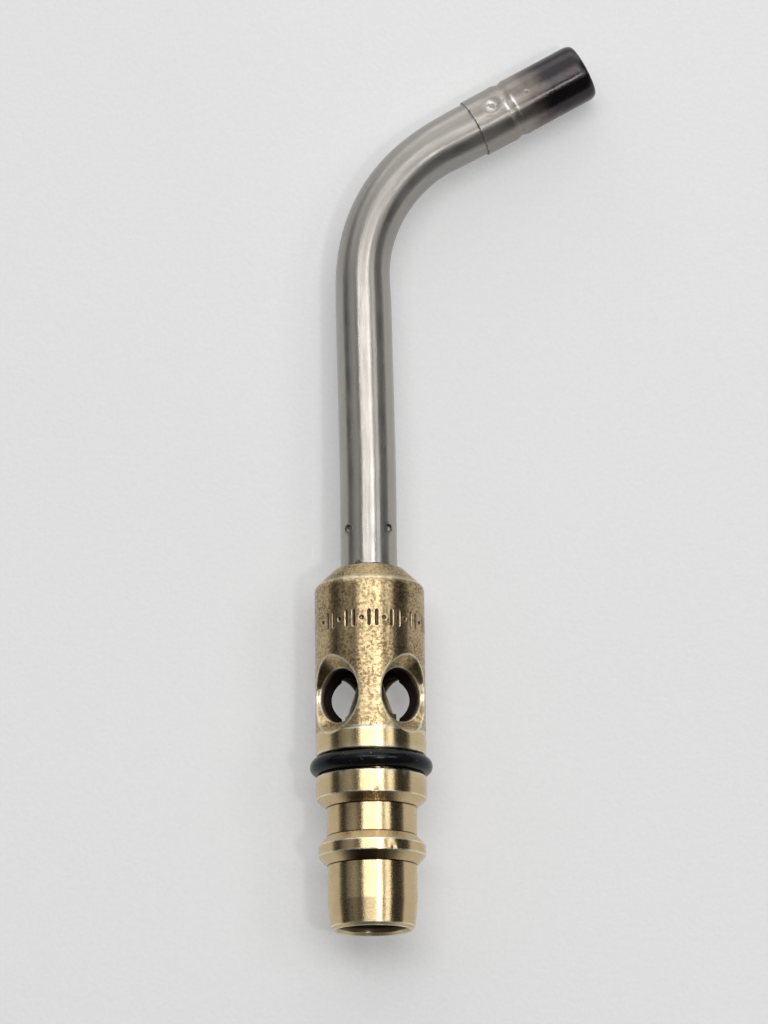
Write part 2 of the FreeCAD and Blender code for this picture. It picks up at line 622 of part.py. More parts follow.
def make_swirler():
    """Plug with slanted slots that spins the gas as it enters the flame tube."""
    body = new_body("swirler")
    outer = f"({FLAME_BORE} - sizes.fit_gap)"
    turn_outline(body, "swirler_turned", (
        (half("swirler_hole_dia"), "0"),
        (outer, "0"),
        (outer, cell("swirler_len")),
        (half("swirler_hole_dia"), cell("swirler_len")),
    ))
    # one slot is a bar through the rim, tilted about the radius through its middle
    slot = body.newObject("PartDesign::SubtractiveBox", "swirl_slot")
    slot.Placement = Placement(Vector(0, 0, 0), Rotation(Vector(1, 0, 0), measure(cell("swirl_slot_angle"))))
    slot.setExpression("Length", "2 * sizes.swirl_slot_depth")
    slot.setExpression("Width", "3 * sizes.swirler_len")
    slot.setExpression("Height", cell("swirl_slot_width"))
    slot.setExpression("Placement.Rotation.Angle", cell("swirl_slot_angle"))
    rise = "sin(sizes.swirl_slot_angle)"
    reach = "cos(sizes.swirl_slot_angle)"
    back = "(1.5 * sizes.swirler_len)"
    down = f"({half('swirl_slot_width')})"
    slot.setExpression("Placement.Base.x", f"{outer} - sizes.swirl_slot_depth")
    slot.setExpression("Placement.Base.y", f"{half('swirler_len')} - {back} * {reach} + {down} * {rise}")
    slot.setExpression("Placement.Base.z", f"-{back} * {rise} - {down} * {reach}")
    repeat_round_y(body, "swirl_slots", slot, "swirl_slot_count")
    stand_on_tip(body, f"sizes.run_after_bend + {ROLL_END} + sizes.swirler_gap")
    return body


def check(things):
    """Stop if any object failed to build or any sub-part isn't one sound solid."""
    for thing in doc.Objects:
        if {"Invalid", "Error"} & set(thing.State):
            raise RuntimeError(f"{thing.Label} failed: {thing.State} {thing.getStatusString()}")
    for thing in things:
        shape = thing.Shape
        if shape.isNull() or not shape.isValid() or len(shape.Solids) != 1:
            raise RuntimeError(f"{thing.Label} isn't one valid solid")


makers = (
    make_barrel,
    make_o_ring,
    make_filter,
    make_retainer,
    make_jet,
    make_venturi,
    make_neck,
    make_braze,
    make_flame_tube,
    make_swirler,
)
parts = []
for make in makers:
    parts.append(make())
    doc.recompute()
check(parts)
os.makedirs("parts", exist_ok=True)
for part in parts:
    part.Shape.exportStep(f"parts/{part.Label}.step")
    print(f"{part.Label}: {part.Shape.Volume:.1f} mm3")
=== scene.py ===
"""Looks of a quick-connect torch tip lying on a pale table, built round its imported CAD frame.

Row frame: +Y runs up the barrel from the gas inlet, the neck bends towards +X, and +Z is up.
Shapes are worked out in millimetres and turned into metres when their mesh is made.
"""

import math

import bmesh
import bpy
import numpy as np
from mathutils import Matrix, Vector, noise


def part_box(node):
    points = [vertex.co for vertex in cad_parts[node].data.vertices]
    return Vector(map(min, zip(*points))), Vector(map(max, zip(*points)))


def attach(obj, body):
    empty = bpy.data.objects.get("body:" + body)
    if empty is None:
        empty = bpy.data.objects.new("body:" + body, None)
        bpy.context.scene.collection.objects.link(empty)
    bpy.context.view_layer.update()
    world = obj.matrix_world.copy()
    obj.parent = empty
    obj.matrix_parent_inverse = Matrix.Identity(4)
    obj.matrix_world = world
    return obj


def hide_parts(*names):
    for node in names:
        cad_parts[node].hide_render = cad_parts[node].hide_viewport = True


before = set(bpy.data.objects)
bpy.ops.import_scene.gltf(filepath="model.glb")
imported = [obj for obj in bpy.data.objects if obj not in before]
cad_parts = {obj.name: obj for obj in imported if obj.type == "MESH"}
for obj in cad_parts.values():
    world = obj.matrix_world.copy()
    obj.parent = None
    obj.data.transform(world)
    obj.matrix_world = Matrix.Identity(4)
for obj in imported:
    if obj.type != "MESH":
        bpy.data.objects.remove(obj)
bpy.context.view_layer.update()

MM = 0.001
TURN = 2 * math.pi


def cad_corners(node):
    """Lowest and highest corner of a CAD node, in millimetres."""
    low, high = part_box(node)
    return low / MM, high / MM


# ---------------- sizes, in millimetres

barrel_high = cad_corners("barrel")[1]
ring_low, ring_high = cad_corners("inlet_o_ring")
neck_low, neck_high = cad_corners("neck_tube")
flame_high = cad_corners("flame_tube")[1]
braze_low, braze_high = cad_corners("braze_ring")

BARREL_RADIUS = barrel_high.x
BARREL_TOP = barrel_high.y
CHAMBER_RADIUS = 4.13
CHAMBER_FLOOR = 28.72
PORT_AT = 33.32
PORT_RADIUS = 3.95
PORT_SINK = 1.7
PORT_ANGLES = tuple(math.radians(angle) for angle in (45, 135, 225, 315))
PORT_EDGE_BREAK = 0.13
PORT_RIM_REACH = 5.75
PATCH_HALF_HEIGHT = 7.0
WITNESS_AT = 28.12
WITNESS_WIDTH = 0.3
WITNESS_DEPTH = 0.06
STAMP_FROM = 42.2
STAMP_TO = 45.8
STAMP_AT = 44.0
STAMP_MARGIN = 0.3
TICKS = range(-7, 15)
TICK_PITCH = 1.12
TICK_HALF_LENGTH = 1.0
TICK_WIDTH = 0.25
DOT_WIDTH = 0.4
TICK_DEPTH = 0.17
SHOULDER_AT = 49.72
SHOULDER_ROUND = 1.3
INLET_RADIUS = 4.9
RIDGE_FLANK = (9.3, 10.5)
FLANGE_FLANK = (17.7, 18.8)
# how sharply a surface bends, in 1/mm, where edge wear or the painted shade in corners starts and where it
# is full
EDGE_BEND = (0.8, 3.0)
# every point of the barrel that is further than this from its axis lies on its outside
OUTSIDE_REACH = 6.0

RING_SECTION = ring_high.y - ring_low.y
RING_AT = (ring_high.y + ring_low.y) / 2
RING_RADIUS = ring_high.x - RING_SECTION / 2

BEAD_ANGLE = math.radians(-21)
BEAD_WIDTH = 0.33
BEAD_HEIGHT = 0.45

NECK_RADIUS = neck_high.z
NECK_BORE = 3.4
NECK_FOOT = neck_low.y
STAKE_AT = 58.12
STAKE_RADIUS = 0.72
STAKE_DEPTH = 0.48
STAKE_COUNT = 4
BEND_FLATTENING = 0.055

FLAME_RADIUS = flame_high.z
FLAME_WALL = 0.28
FLAME_LENGTH = 18.4
ROLL_AT = 5.9
ROLL_DEPTH = 0.22
LIP_LENGTH = 1.3
LIP_DROP = 0.6

# the neck's centre line: length of each stretch, and its heading from +Y towards +X at the end of it
LEAN_RADIUS = 400.0
LEAN_TURN = math.radians(0.9)
BEND_RADIUS = 23.0
BEND_TURN = math.radians(62.4)
HEADING = BEND_TURN - LEAN_TURN
NECK_STRETCHES = (
    (24.3, 0.0),
    (LEAN_RADIUS * LEAN_TURN, -LEAN_TURN),
    (25.32, -LEAN_TURN),
    (BEND_RADIUS * BEND_TURN, HEADING),
)
NECK_KNOTS = np.cumsum([0.0] + [length for length, heading in NECK_STRETCHES])
NECK_HEADINGS = [0.0] + [heading for length, heading in NECK_STRETCHES]
BEND_START = float(NECK_KNOTS[-2])
BEND_END = float(NECK_KNOTS[-1])
RUN_AFTER_BEND = 5.4
FLAME_START = BEND_END + RUN_AFTER_BEND
FLAME_LAP = 4.9
LINE_STEP = 0.02
LINE_LENGTH = 130

# mesh fineness: counts of points, and lengths of steps
PORT_ARC = 40
PORT_SIDE = 32
PORT_RINGS = 16
AROUND = 4 * PORT_ARC
STAMP_FINER = 4
STAMP_ROWS = 44
ROUNDING_STEPS = 5
RUN_STEP = 0.7
EDGE_GUARD = 0.05
TUBE_AROUND = 288
RING_AROUND = 240
RING_TURNS = 56
BRAZE_AROUND = 256
BRAZE_TURNS = 14
NECK_STEP = 0.45
STAKE_STEP = 0.06

# the barrel's half section as (radius, place along Y, rounding): first from the ports down and up the inside
LOWER_SECTION = (
    (BARREL_RADIUS, PORT_AT - PATCH_HALF_HEIGHT, 0),
    # the O-ring's groove
    (BARREL_RADIUS, 25.17, 0.2),
    (6.2, 25.17, 0.1),
    (6.2, 22.07, 0.1),
    (BARREL_RADIUS, 22.07, 0.2),
    # flange, locking groove and ridge
    (BARREL_RADIUS, 18.85, 0.2),
    (6.45, 17.6, 0.2),
    (6.45, 13.45, 0.2),
    (7.72, 12.1, 0.25),
    (7.72, 10.6, 0.25),
    # nose and inlet face
    (6.42, 9.25, 0.2),
    (6.42, 3.9, 2.0),
    (6.05, 0.45, 0.2),
    (5.6, 0.0, 0.12),
    (5.3, 0.0, 0.08),
    # inlet, filter's pocket and its ring's groove
    (INLET_RADIUS, 0.4, 0.08),
    (INLET_RADIUS, 9.0, 0),
    (3.7, 9.0, 0),
    (3.7, 10.4, 0),
    (4.0, 10.4, 0),
    (4.0, 11.0, 0),
    (3.7, 11.0, 0),
    (3.7, 13.0, 0),
    # gas passage, the jet's hole and the chamber's floor
    (1.6, 13.0, 0),
    (1.6, 22.72, 0),
    (2.52, 22.72, 0),
    (2.52, CHAMBER_FLOOR, 0),
    (CHAMBER_RADIUS, CHAMBER_FLOOR, 0),
    (CHAMBER_RADIUS, CHAMBER_FLOOR + 0.2, 0),
)
# from the ports up to the stamped band
MIDDLE_SECTION = (
    (BARREL_RADIUS, PORT_AT + PATCH_HALF_HEIGHT, 0),
    (BARREL_RADIUS, STAMP_FROM - STAMP_MARGIN, 0),
)
# from the band over the shoulder and down the neck's socket
UPPER_SECTION = (
    (BARREL_RADIUS, STAMP_TO + STAMP_MARGIN, 0),
    (BARREL_RADIUS, SHOULDER_AT, SHOULDER_ROUND),
    (4.98, BARREL_TOP, 0.08),
    (4.53, BARREL_TOP, 0.05),
    (CHAMBER_RADIUS, BARREL_TOP - 0.4, 0),
    (CHAMBER_RADIUS, 38.6, 0),
)


# ---------------- numbers and outlines


def smooth_step(low, high, value):
    """0 below low, 1 above high, and smooth between."""
    part = np.clip((value - low) / (high - low), 0, 1)
    return part * part * (3 - 2 * part)


def bell(value, middle, width, power=2):
    """1 at the middle, falling smoothly to 0 on both sides. A power of 4 gives a flat top."""
    return np.exp(-(((value - middle) / width) ** power))


def full_turn(count):
    """Angles spread evenly round one turn."""
    return np.arange(count) * TURN / count


def outline(corners):
    """A half section through corners (radius, along, rounding), with round corners and divided runs."""
    places = [np.array(corner[:2], float) for corner in corners]
    pieces = []
    for index, here in enumerate(places):
        rounding = corners[index][2]
        if rounding == 0:
            pieces.append([here])
            continue
        inward = here - places[index - 1]
        outward = places[index + 1] - here
        inward /= np.linalg.norm(inward)
        outward /= np.linalg.norm(outward)
        turn = math.acos(max(-1.0, min(1.0, float(inward @ outward))))
        side = math.copysign(1.0, inward[0] * outward[1] - inward[1] * outward[0])
        reach = rounding * math.tan(turn / 2)
        start = here - inward * reach
        to_centre = np.array([-inward[1], inward[0]]) * side
        centre = start + to_centre * rounding
        arc = []
        for step in range(ROUNDING_STEPS + 1):
            angle = side * turn * step / ROUNDING_STEPS
            cosine, sine = math.cos(angle), math.sin(angle)
            spoke = -to_centre
            arc.append(centre + rounding * np.array([
                cosine * spoke[0] - sine * spoke[1],
                sine * spoke[0] + cosine * spoke[1],
            ]))
        pieces.append(arc)
    points = list(pieces[0])
    for piece in pieces[1:]:
        start, end = points[-1], piece[0]
        length = float(np.linalg.norm(end - start))
        if length > 4 * EDGE_GUARD:
            guard = EDGE_GUARD / length
            count = max(1, round(length / RUN_STEP))
            shares = [guard] + [step / count for step in range(1, count)] + [1 - guard]
            points += [start + (end - start) * share for share in shares]
        points += piece
    return np.array(points)


def turned_ring(radius, along, angles):
    """Points at one radius and place along Y. Angles run from +Z towards +X."""
    return np.stack([
        radius * np.sin(angles),
        np.broadcast_to(np.asarray(along, float), angles.shape),
        radius * np.cos(angles),
    ], axis=-1)


# ---------------- meshes


class Skin:
    """A surface under construction: grids of points in millimetres, merged where they meet."""

    def __init__(self):
        self.points = []
        self.faces = []
        self.count = 0

    def add_points(self, points):
        """Takes in points and returns the number of the first."""
        points = np.asarray(points, float).reshape(-1, 3)
        first = self.count
        self.points.append(points)
        self.count += len(points)
        return first

    def add_grid(self, rows, ring=True, closed=False):
        """Rows of points joined by quads. ring closes each row, closed joins the last row to the first."""
        rows = np.asarray(rows, float)
        high, wide = rows.shape[:2]
        first = self.add_points(rows)
        for row in range(high if closed else high - 1):
            below = first + row * wide
            above = first + (row + 1) % high * wide
            for column in range(wide if ring else wide - 1):
                after = (column + 1) % wide
                self.faces.append((below + column, below + after, above + after, above + column))

    def add_step(self, coarse, fine):
        """Joins a ring to a finer one that has a whole number of points for each of its own."""
        share = len(fine) // len(coarse)
        low = self.add_points(coarse)
        high = self.add_points(fine)
        for column in range(len(coarse)):
            after = (column + 1) % len(coarse)
            edge = [high + (column * share + step) % len(fine) for step in range(share, -1, -1)]
            self.faces.append((low + column, low + after, *edge))

    def merged(self):
        """All points, each kept once, and the faces that are left."""
        points = np.concatenate(self.points)
        keys = np.round(points / 1e-4).astype(np.int64)
        first, back = np.unique(keys, axis=0, return_index=True, return_inverse=True)[1:]
        back = back.reshape(-1)
        faces = []
        for face in self.faces:
            kept = []
            for corner in face:
                corner = int(back[corner])
                if corner not in kept:
                    kept.append(corner)
            if len(kept) > 2:
                faces.append(kept)
        return points[first], faces


def new_piece(name, points, faces, material, slot, nodes):
    """A smooth object from points in millimetres. It stands for the CAD nodes and hides them. slot is not
    used.
    """
    mesh = bpy.data.meshes.new(name)
    mesh.from_pydata((np.asarray(points) * MM).tolist(), [], faces)
    work = bmesh.new()
    work.from_mesh(mesh)
    bmesh.ops.recalc_face_normals(work, faces=work.faces)
    work.to_mesh(mesh)
    work.free()
    mesh.polygons.foreach_set("use_smooth", [True] * len(mesh.polygons))
    mesh.materials.append(material)
    mesh.update()
    piece = bpy.data.objects.new(name, mesh)
    bpy.context.scene.collection.objects.link(piece)
    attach(piece, "root")
    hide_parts(*nodes)
    return piece


def mesh_points(mesh):
    """Places of a mesh's points, in millimetres."""
    values = np.empty(len(mesh.vertices) * 3)
    mesh.vertices.foreach_get("co", values)
    return values.reshape(-1, 3) / MM


def mesh_normals(mesh):
    values = np.empty(len(mesh.vertices) * 3, np.float32)
    mesh.vertex_normals.foreach_get("vector", values)
    return values.reshape(-1, 3).astype(float)


def set_value(mesh, name, values):
    """Stores one number, or one vector, for each point of a mesh."""
    values = np.asarray(values, np.float32)
    if values.ndim == 2:
        mesh.attributes.new(name, "FLOAT_VECTOR", "POINT").data.foreach_set("vector", values.reshape(-1))
    else:
        mesh.attributes.new(name, "FLOAT", "POINT").data.foreach_set("value", values)


def set_edges(mesh, worn_and_glint=0.0, clean=False, protected=False, dirt_and_shade=0.0):
    """Stores how sharply each point stands out (wear) or lies in a corner (painted shade).

    worn_and_glint and dirt_and_shade are the least wear and shade of each point, and carry painted glints
    and painted shade as well as real wear and dirt. clean points get no painted shade, and protected ones
    little wear.
    """
    points, normals = mesh_points(mesh), mesh_normals(mesh)
    ends = np.empty(len(mesh.edges) * 2, np.int32)
    mesh.edges.foreach_get("vertices", ends)
    start, end = ends.reshape(-1, 2).T
    along = points[end] - points[start]
    change = ((normals[end] - normals[start]) * along).sum(1) / np.maximum((along * along).sum(1), 1e-9)
    out = np.zeros(len(points))
    into = np.zeros(len(points))
    for side in (start, end):
        np.maximum.at(out, side, change)
        np.maximum.at(into, side, -change)
    wear_and_glint = smooth_step(*EDGE_BEND, out) * np.where(protected, 0.3, 1.0)
    set_value(mesh, "wear_and_glint", np.maximum(wear_and_glint, worn_and_glint))
    set_value(mesh, "grime_and_shade", np.where(clean, 0.0, np.maximum(smooth_step(*EDGE_BEND, into), dirt_and_shade)))


def around_y(points):
    """Unit vectors round the Y axis at each point."""
    turn = np.stack([points[:, 2], np.zeros(len(points)), -points[:, 0]], axis=1)
    return turn / np.maximum(np.linalg.norm(turn, axis=1, keepdims=True), 1e-6)


# ---------------- barrel


def port_frame(angle):
    """Unit vectors out along a port and sideways round the barrel."""
    out = np.array([math.sin(angle), 0, math.cos(angle)])
    sideways = np.array([math.cos(angle), 0, -math.sin(angle)])
    return out, sideways


def port_angles():
    """Angles round a port, and the angle at which the first of its four arcs meets the next."""
    corner = math.acos(CHAMBER_RADIUS * math.sin(math.pi / 4) / PORT_RADIUS)
    arcs = (
        np.linspace(-corner, corner, PORT_SIDE, endpoint=False),
        np.linspace(corner, math.pi - corner, PORT_ARC, endpoint=False),
        np.linspace(math.pi - corner, math.pi + corner, PORT_SIDE, endpoint=False),
        np.linspace(math.pi + corner, TURN - corner, PORT_ARC, endpoint=False),
    )
    return np.concatenate(arcs), corner


def port_square():
    """The square round a port, as distance round the barrel and distance up, matching port_angles."""
    quarter = BARREL_RADIUS * math.pi / 4
    side = np.linspace(-PATCH_HALF_HEIGHT, PATCH_HALF_HEIGHT, PORT_SIDE, endpoint=False)
    top = np.linspace(quarter, -quarter, PORT_ARC, endpoint=False)
    pairs = [(quarter, up) for up in side]
    pairs += [(across, PATCH_HALF_HEIGHT) for across in top]
    pairs += [(-quarter, -up) for up in side]
    pairs += [(-across, -PATCH_HALF_HEIGHT) for across in top]
    return np.array(pairs)


def add_port(skin, angle):
    """The outside of the barrel round one port, its countersink, and its wall down to the chamber."""
    out, sideways = port_frame(angle)
    turns = port_angles()[0]
    cosine, sine = np.cos(turns), np.sin(turns)
    floor = BARREL_RADIUS - PORT_SINK
    sink = floor - PORT_RADIUS
    # where the 45 degree countersink meets the barrel: (r + sink)^2 = R^2 - (r cos)^2
    square = 1 + cosine ** 2
    rim = (-sink + np.sqrt(sink ** 2 - square * (sink ** 2 - BARREL_RADIUS ** 2))) / square

    def on_barrel(radius):
        across = radius * cosine
        return np.stack([np.sqrt(BARREL_RADIUS ** 2 - across ** 2), across, radius * sine], axis=1)

    def in_port(radius, depth):
        radius = np.broadcast_to(radius, turns.shape)
        return np.stack([np.broadcast_to(depth, turns.shape), radius * cosine, radius * sine], axis=1)

    def eased(first, middle, last, share):
        return first * (1 - share) ** 2 + 2 * middle * share * (1 - share) + last * share ** 2

    rows = []
    outer = rim + PORT_EDGE_BREAK
    flat_rim = np.stack([BARREL_RADIUS * np.arcsin(outer * cosine / BARREL_RADIUS), outer * sine], axis=1)
    flat_square = port_square()
    for ring in range(PORT_RINGS):
        share = (ring / PORT_RINGS) ** 0.8
        flat = flat_square * (1 - share) + flat_rim * share
        bearing = flat[:, 0] / BARREL_RADIUS
        rows.append(np.stack([
            BARREL_RADIUS * np.cos(bearing),
            BARREL_RADIUS * np.sin(bearing),
            flat[:, 1],
        ], axis=1))
    sharp = on_barrel(rim)
    inner = rim - PORT_EDGE_BREAK
    cone_top = in_port(inner, inner + sink)
    for share in np.linspace(0, 1, ROUNDING_STEPS):
        rows.append(eased(on_barrel(outer), sharp, cone_top, share))
    cone_foot = in_port(PORT_RADIUS + PORT_EDGE_BREAK, floor + PORT_EDGE_BREAK)
    for share in (0.12, 0.4, 0.7, 0.9):
        rows.append(cone_top * (1 - share) + cone_foot * share)
    wall_top = in_port(PORT_RADIUS, floor - PORT_EDGE_BREAK)
    for share in np.linspace(0, 1, ROUNDING_STEPS):
        rows.append(eased(cone_foot, in_port(PORT_RADIUS, floor), wall_top, share))
    across = np.abs(PORT_RADIUS * cosine)
    depth = np.maximum(across, np.sqrt(np.maximum(CHAMBER_RADIUS ** 2 - across ** 2, 0)))
    wall_foot = in_port(PORT_RADIUS, depth)
    for share in (0.05, 0.3, 0.6, 0.9, 0.97, 1.0):
        rows.append(wall_top * (1 - share) + wall_foot * share)
    local = np.array(rows)
    centre = np.array([0, PORT_AT, 0])
    up = np.array([0, 1, 0])
    skin.add_grid(centre + local[..., :1] * out + local[..., 1:2] * sideways + local[..., 2:] * up)


def chamber_edge(sign):
    """The ring where the chamber's wall meets the four ports, above or below them."""
    corner = port_angles()[1]
    turns = np.linspace(math.pi - corner, corner, PORT_ARC, endpoint=False)
    points = []
    for angle in PORT_ANGLES:
        bearing = angle + np.arcsin(PORT_RADIUS * np.cos(turns) / CHAMBER_RADIUS)
        points.append(turned_ring(CHAMBER_RADIUS, PORT_AT + sign * PORT_RADIUS * np.sin(turns), bearing))
    return np.concatenate(points)


def stamp_depth(around, along):
    """Depth of the stamped row of plain ticks and dots, for a place round the barrel and along it."""
    depth = np.zeros(np.broadcast(around, along).shape)
    for index in TICKS:
        is_dot = index % 3 == 2
        half = 0.0 if is_dot else TICK_HALF_LENGTH
        width = DOT_WIDTH if is_dot else TICK_WIDTH
        beyond = np.maximum(np.abs(along - STAMP_AT) - half, 0)
        distance = np.hypot(around - index * TICK_PITCH, beyond)
        depth = np.maximum(depth, TICK_DEPTH * (1 - smooth_step(width * 0.45, width, distance)))
    return depth


def add_nicks(points):
    """Small dents that handling left on the barrel's edges."""
    nicks = (
        # bearing in degrees, place along Y, size, depth
        (6.0, 18.97, 0.32, 0.22),
        (-31.0, 22.0, 0.25, 0.08),
        (24.0, 10.65, 0.3, 0.1),
        (-12.0, 50.1, 0.35, 0.1),
        (9.0, 49.9, 0.3, 0.12),
        (38.0, 22.02, 0.3, 0.1),
        (150.0, 19.05, 0.4, 0.15),
        (205.0, 12.0, 0.35, 0.12),
        (262.0, 49.8, 0.45, 0.14),
        (118.0, 3.75, 0.4, 0.08),
    )
    moved = points.copy()
    radial = points * np.array([1, 0, 1])
    radial = radial / np.maximum(np.linalg.norm(radial, axis=1, keepdims=True), 1e-6)
    reach = np.hypot(points[:, 0], points[:, 2])
    outside = reach > OUTSIDE_REACH
    for bearing, along, size, depth in nicks:
        angles = np.full(len(points), math.radians(bearing))
        place = turned_ring(np.where(outside, reach, 0), along, angles)
        distance = np.linalg.norm(points - place, axis=1)
        push = depth * bell(distance, 0, size) * outside
        moved -= radial * push[:, None]
    return moved


def barrel_soot_and_shade(points):
    """Soot and painted shade inside the barrel: most in the chamber and the ports' walls, a little less in
    the gas inlet, where it is only painted shade.
    """
    reach = np.hypot(points[:, 0], points[:, 2])
    above_floor = points[:, 1] > CHAMBER_FLOOR - 0.1
    soot_and_shade = np.where((reach < CHAMBER_RADIUS + 0.05) & above_floor, 1.0, 0.0)
    floor = BARREL_RADIUS - PORT_SINK
    for angle in PORT_ANGLES:
        out, sideways = port_frame(angle)
        depth = points @ out
        radius = np.hypot(points @ sideways, points[:, 1] - PORT_AT)
        in_port = (radius < PORT_RADIUS + 0.03) & (depth > 0) & (reach < BARREL_RADIUS - 0.3)
        soot_and_shade = np.maximum(soot_and_shade, in_port * (0.3 + 0.7 * smooth_step(floor, floor - 0.5, depth)))
    in_inlet = (reach < INLET_RADIUS + 0.05) & (points[:, 1] < CHAMBER_FLOOR)
    return np.maximum(soot_and_shade, in_inlet * 0.95 * smooth_step(0.3, 0.9, points[:, 1]))


def make_barrel(material):
    """Turned brass barrel with countersunk ports, nicked edges and a stamped row of ticks."""
    angles = full_turn(AROUND)
    fine_angles = full_turn(AROUND * STAMP_FINER)
    skin = Skin()
    for angle in PORT_ANGLES:
        add_port(skin, angle)

    def lathe(section):
        return [turned_ring(radius, along, angles) for radius, along in outline(section)]

    skin.add_grid(lathe(LOWER_SECTION) + [chamber_edge(-1)])
    skin.add_grid(lathe(MIDDLE_SECTION))
    band = np.linspace(STAMP_FROM, STAMP_TO, STAMP_ROWS)
    distance_round = np.where(fine_angles > math.pi, fine_angles - TURN, fine_angles) * BARREL_RADIUS
    depth = stamp_depth(distance_round[None, :], band[:, None])
    depth[[0, -1]] = 0
    skin.add_grid([
        turned_ring(BARREL_RADIUS - row_depth, along, fine_angles)
        for along, row_depth in zip(band, depth)
    ])
    for end, edge in ((STAMP_FROM, STAMP_FROM - STAMP_MARGIN), (STAMP_TO, STAMP_TO + STAMP_MARGIN)):
        skin.add_step(turned_ring(BARREL_RADIUS, edge, angles), turned_ring(BARREL_RADIUS, end, fine_angles))
    skin.add_grid(lathe(UPPER_SECTION) + [chamber_edge(1)])
    points, faces = skin.merged()
    mesh = new_piece("barrel_body", add_nicks(points), faces, material, "barrel_brass", ("barrel",)).data
    cut_witness_line(mesh)
    finish_barrel(mesh)


def cut_witness_line(mesh):
    """The fine turned line above the O-ring. It stops where the ports' countersinks cut it."""
    work = bmesh.new()
    work.from_mesh(mesh)
    for offset in (-0.5, 0.0, 0.5):
        height = (WITNESS_AT + offset * WITNESS_WIDTH) * MM
        near = [face for face in work.faces if abs(face.calc_center_median().y - height) < 1.5 * MM]
        edges = {edge for face in near for edge in face.edges}
        corners = {corner for face in near for corner in face.verts}
        bmesh.ops.bisect_plane(
            work,
            geom=near + list(edges) + list(corners),
            dist=1e-6,
            plane_co=(0, height, 0),
            plane_no=(0, 1, 0),
        )
    for corner in work.verts:
        reach = math.hypot(corner.co.x, corner.co.z)
        on_line = abs(corner.co.y - WITNESS_AT * MM) < 0.25 * WITNESS_WIDTH * MM
        if on_line and reach > (BARREL_RADIUS - 0.01) * MM:
            share = (reach - WITNESS_DEPTH * MM) / reach
            corner.co.x *= share
            corner.co.z *= share
    work.to_mesh(mesh)
    work.free()
    mesh.update()


def finish_barrel(mesh):
    """What the brass material reads: place, grain of the turning, soot and painted shade inside, wear with a
    painted highlight, and painted shade in corners and on the upper flanks.
    """
    points, normals = mesh_points(mesh), mesh_normals(mesh)
    turning = around_y(points)
    reach = np.hypot(points[:, 0], points[:, 2])
    for angle in PORT_ANGLES:
        out, sideways = port_frame(angle)
        across = points @ sideways
        up = points[:, 1] - PORT_AT
        radius = np.maximum(np.hypot(across, up), 1e-6)
        inside = (radius < PORT_RIM_REACH) & (points @ out > 2) & (reach < BARREL_RADIUS - 0.02)
        round_port = (across[:, None] * np.array([0, 1, 0]) - up[:, None] * sideways) / radius[:, None]
        turning = np.where(inside[:, None], round_port, turning)
    set_value(mesh, "grain", np.cross(normals, turning))
    set_value(mesh, "place", points)
    set_value(mesh, "soot_and_shade", barrel_soot_and_shade(points))
    along = points[:, 1]
    on_line = np.abs(along - WITNESS_AT) < 0.5 * WITNESS_WIDTH
    on_line = on_line & (reach > BARREL_RADIUS - 2 * WITNESS_DEPTH)
    on_edge = (reach > OUTSIDE_REACH) * bell(along, SHOULDER_AT + 0.3, 0.13)
    stamped = (along > STAMP_FROM) & (along < STAMP_TO)
    # the middle of the upper side, where the flanks get painted shade and the turned line a painted
    # highlight
    bearing = np.degrees(np.arctan2(points[:, 0], points[:, 2]))
    top_side = bell(bearing, -4, 30, 4) * (reach > OUTSIDE_REACH + 0.3)
    # painted shade on the upper flanks of the ridge and the flange
    dirt_and_shade = top_side * np.maximum(
        1.0 * (along > RIDGE_FLANK[0]) * (along < RIDGE_FLANK[1]),
        0.7 * (along > FLANGE_FLANK[0]) * (along < FLANGE_FLANK[1]),
    )
    # painted highlight on the turned line, strongest on the upper side
    line_highlight = on_line * (0.2 + 0.8 * top_side)
    set_edges(mesh, np.maximum(line_highlight, 0.85 * on_edge), on_line, stamped, dirt_and_shade)


# ---------------- O-ring and braze


def ring_piece(name, rows, material, slot, node):
    """A ring from the loops of points round its section, and the values its material reads."""
    skin = Skin()
    skin.add_grid(rows, closed=True)
    mesh = new_piece(name, *skin.merged(), material, slot, (node,)).data
    points, normals = mesh_points(mesh), mesh_normals(mesh)
    set_value(mesh, "place", points)
    set_value(mesh, "grain", np.cross(normals, around_y(points)))
    set_edges(mesh)


def make_o_ring(material):
    """Nitrile ring with a faint parting line, seated a little unevenly in its groove."""
    turns = full_turn(RING_TURNS)
    flash = 0.018 * bell(np.minimum(turns, TURN - turns), 0, 0.05)
    radius = RING_SECTION / 2 - 0.02 + flash
    rows = []
    for bearing in full_turn(RING_AROUND):
        sway = 0.03 * math.sin(2 * bearing + 0.6) + 0.02 * math.sin(5 * bearing)
        along = RING_AT + sway + radius * np.sin(turns)
        rows.append(turned_ring(RING_RADIUS + radius * np.cos(turns), along, np.full(RING_TURNS, bearing)))
    ring_piece("seal_ring", rows, material, "o_ring_nitrile", "inlet_o_ring")


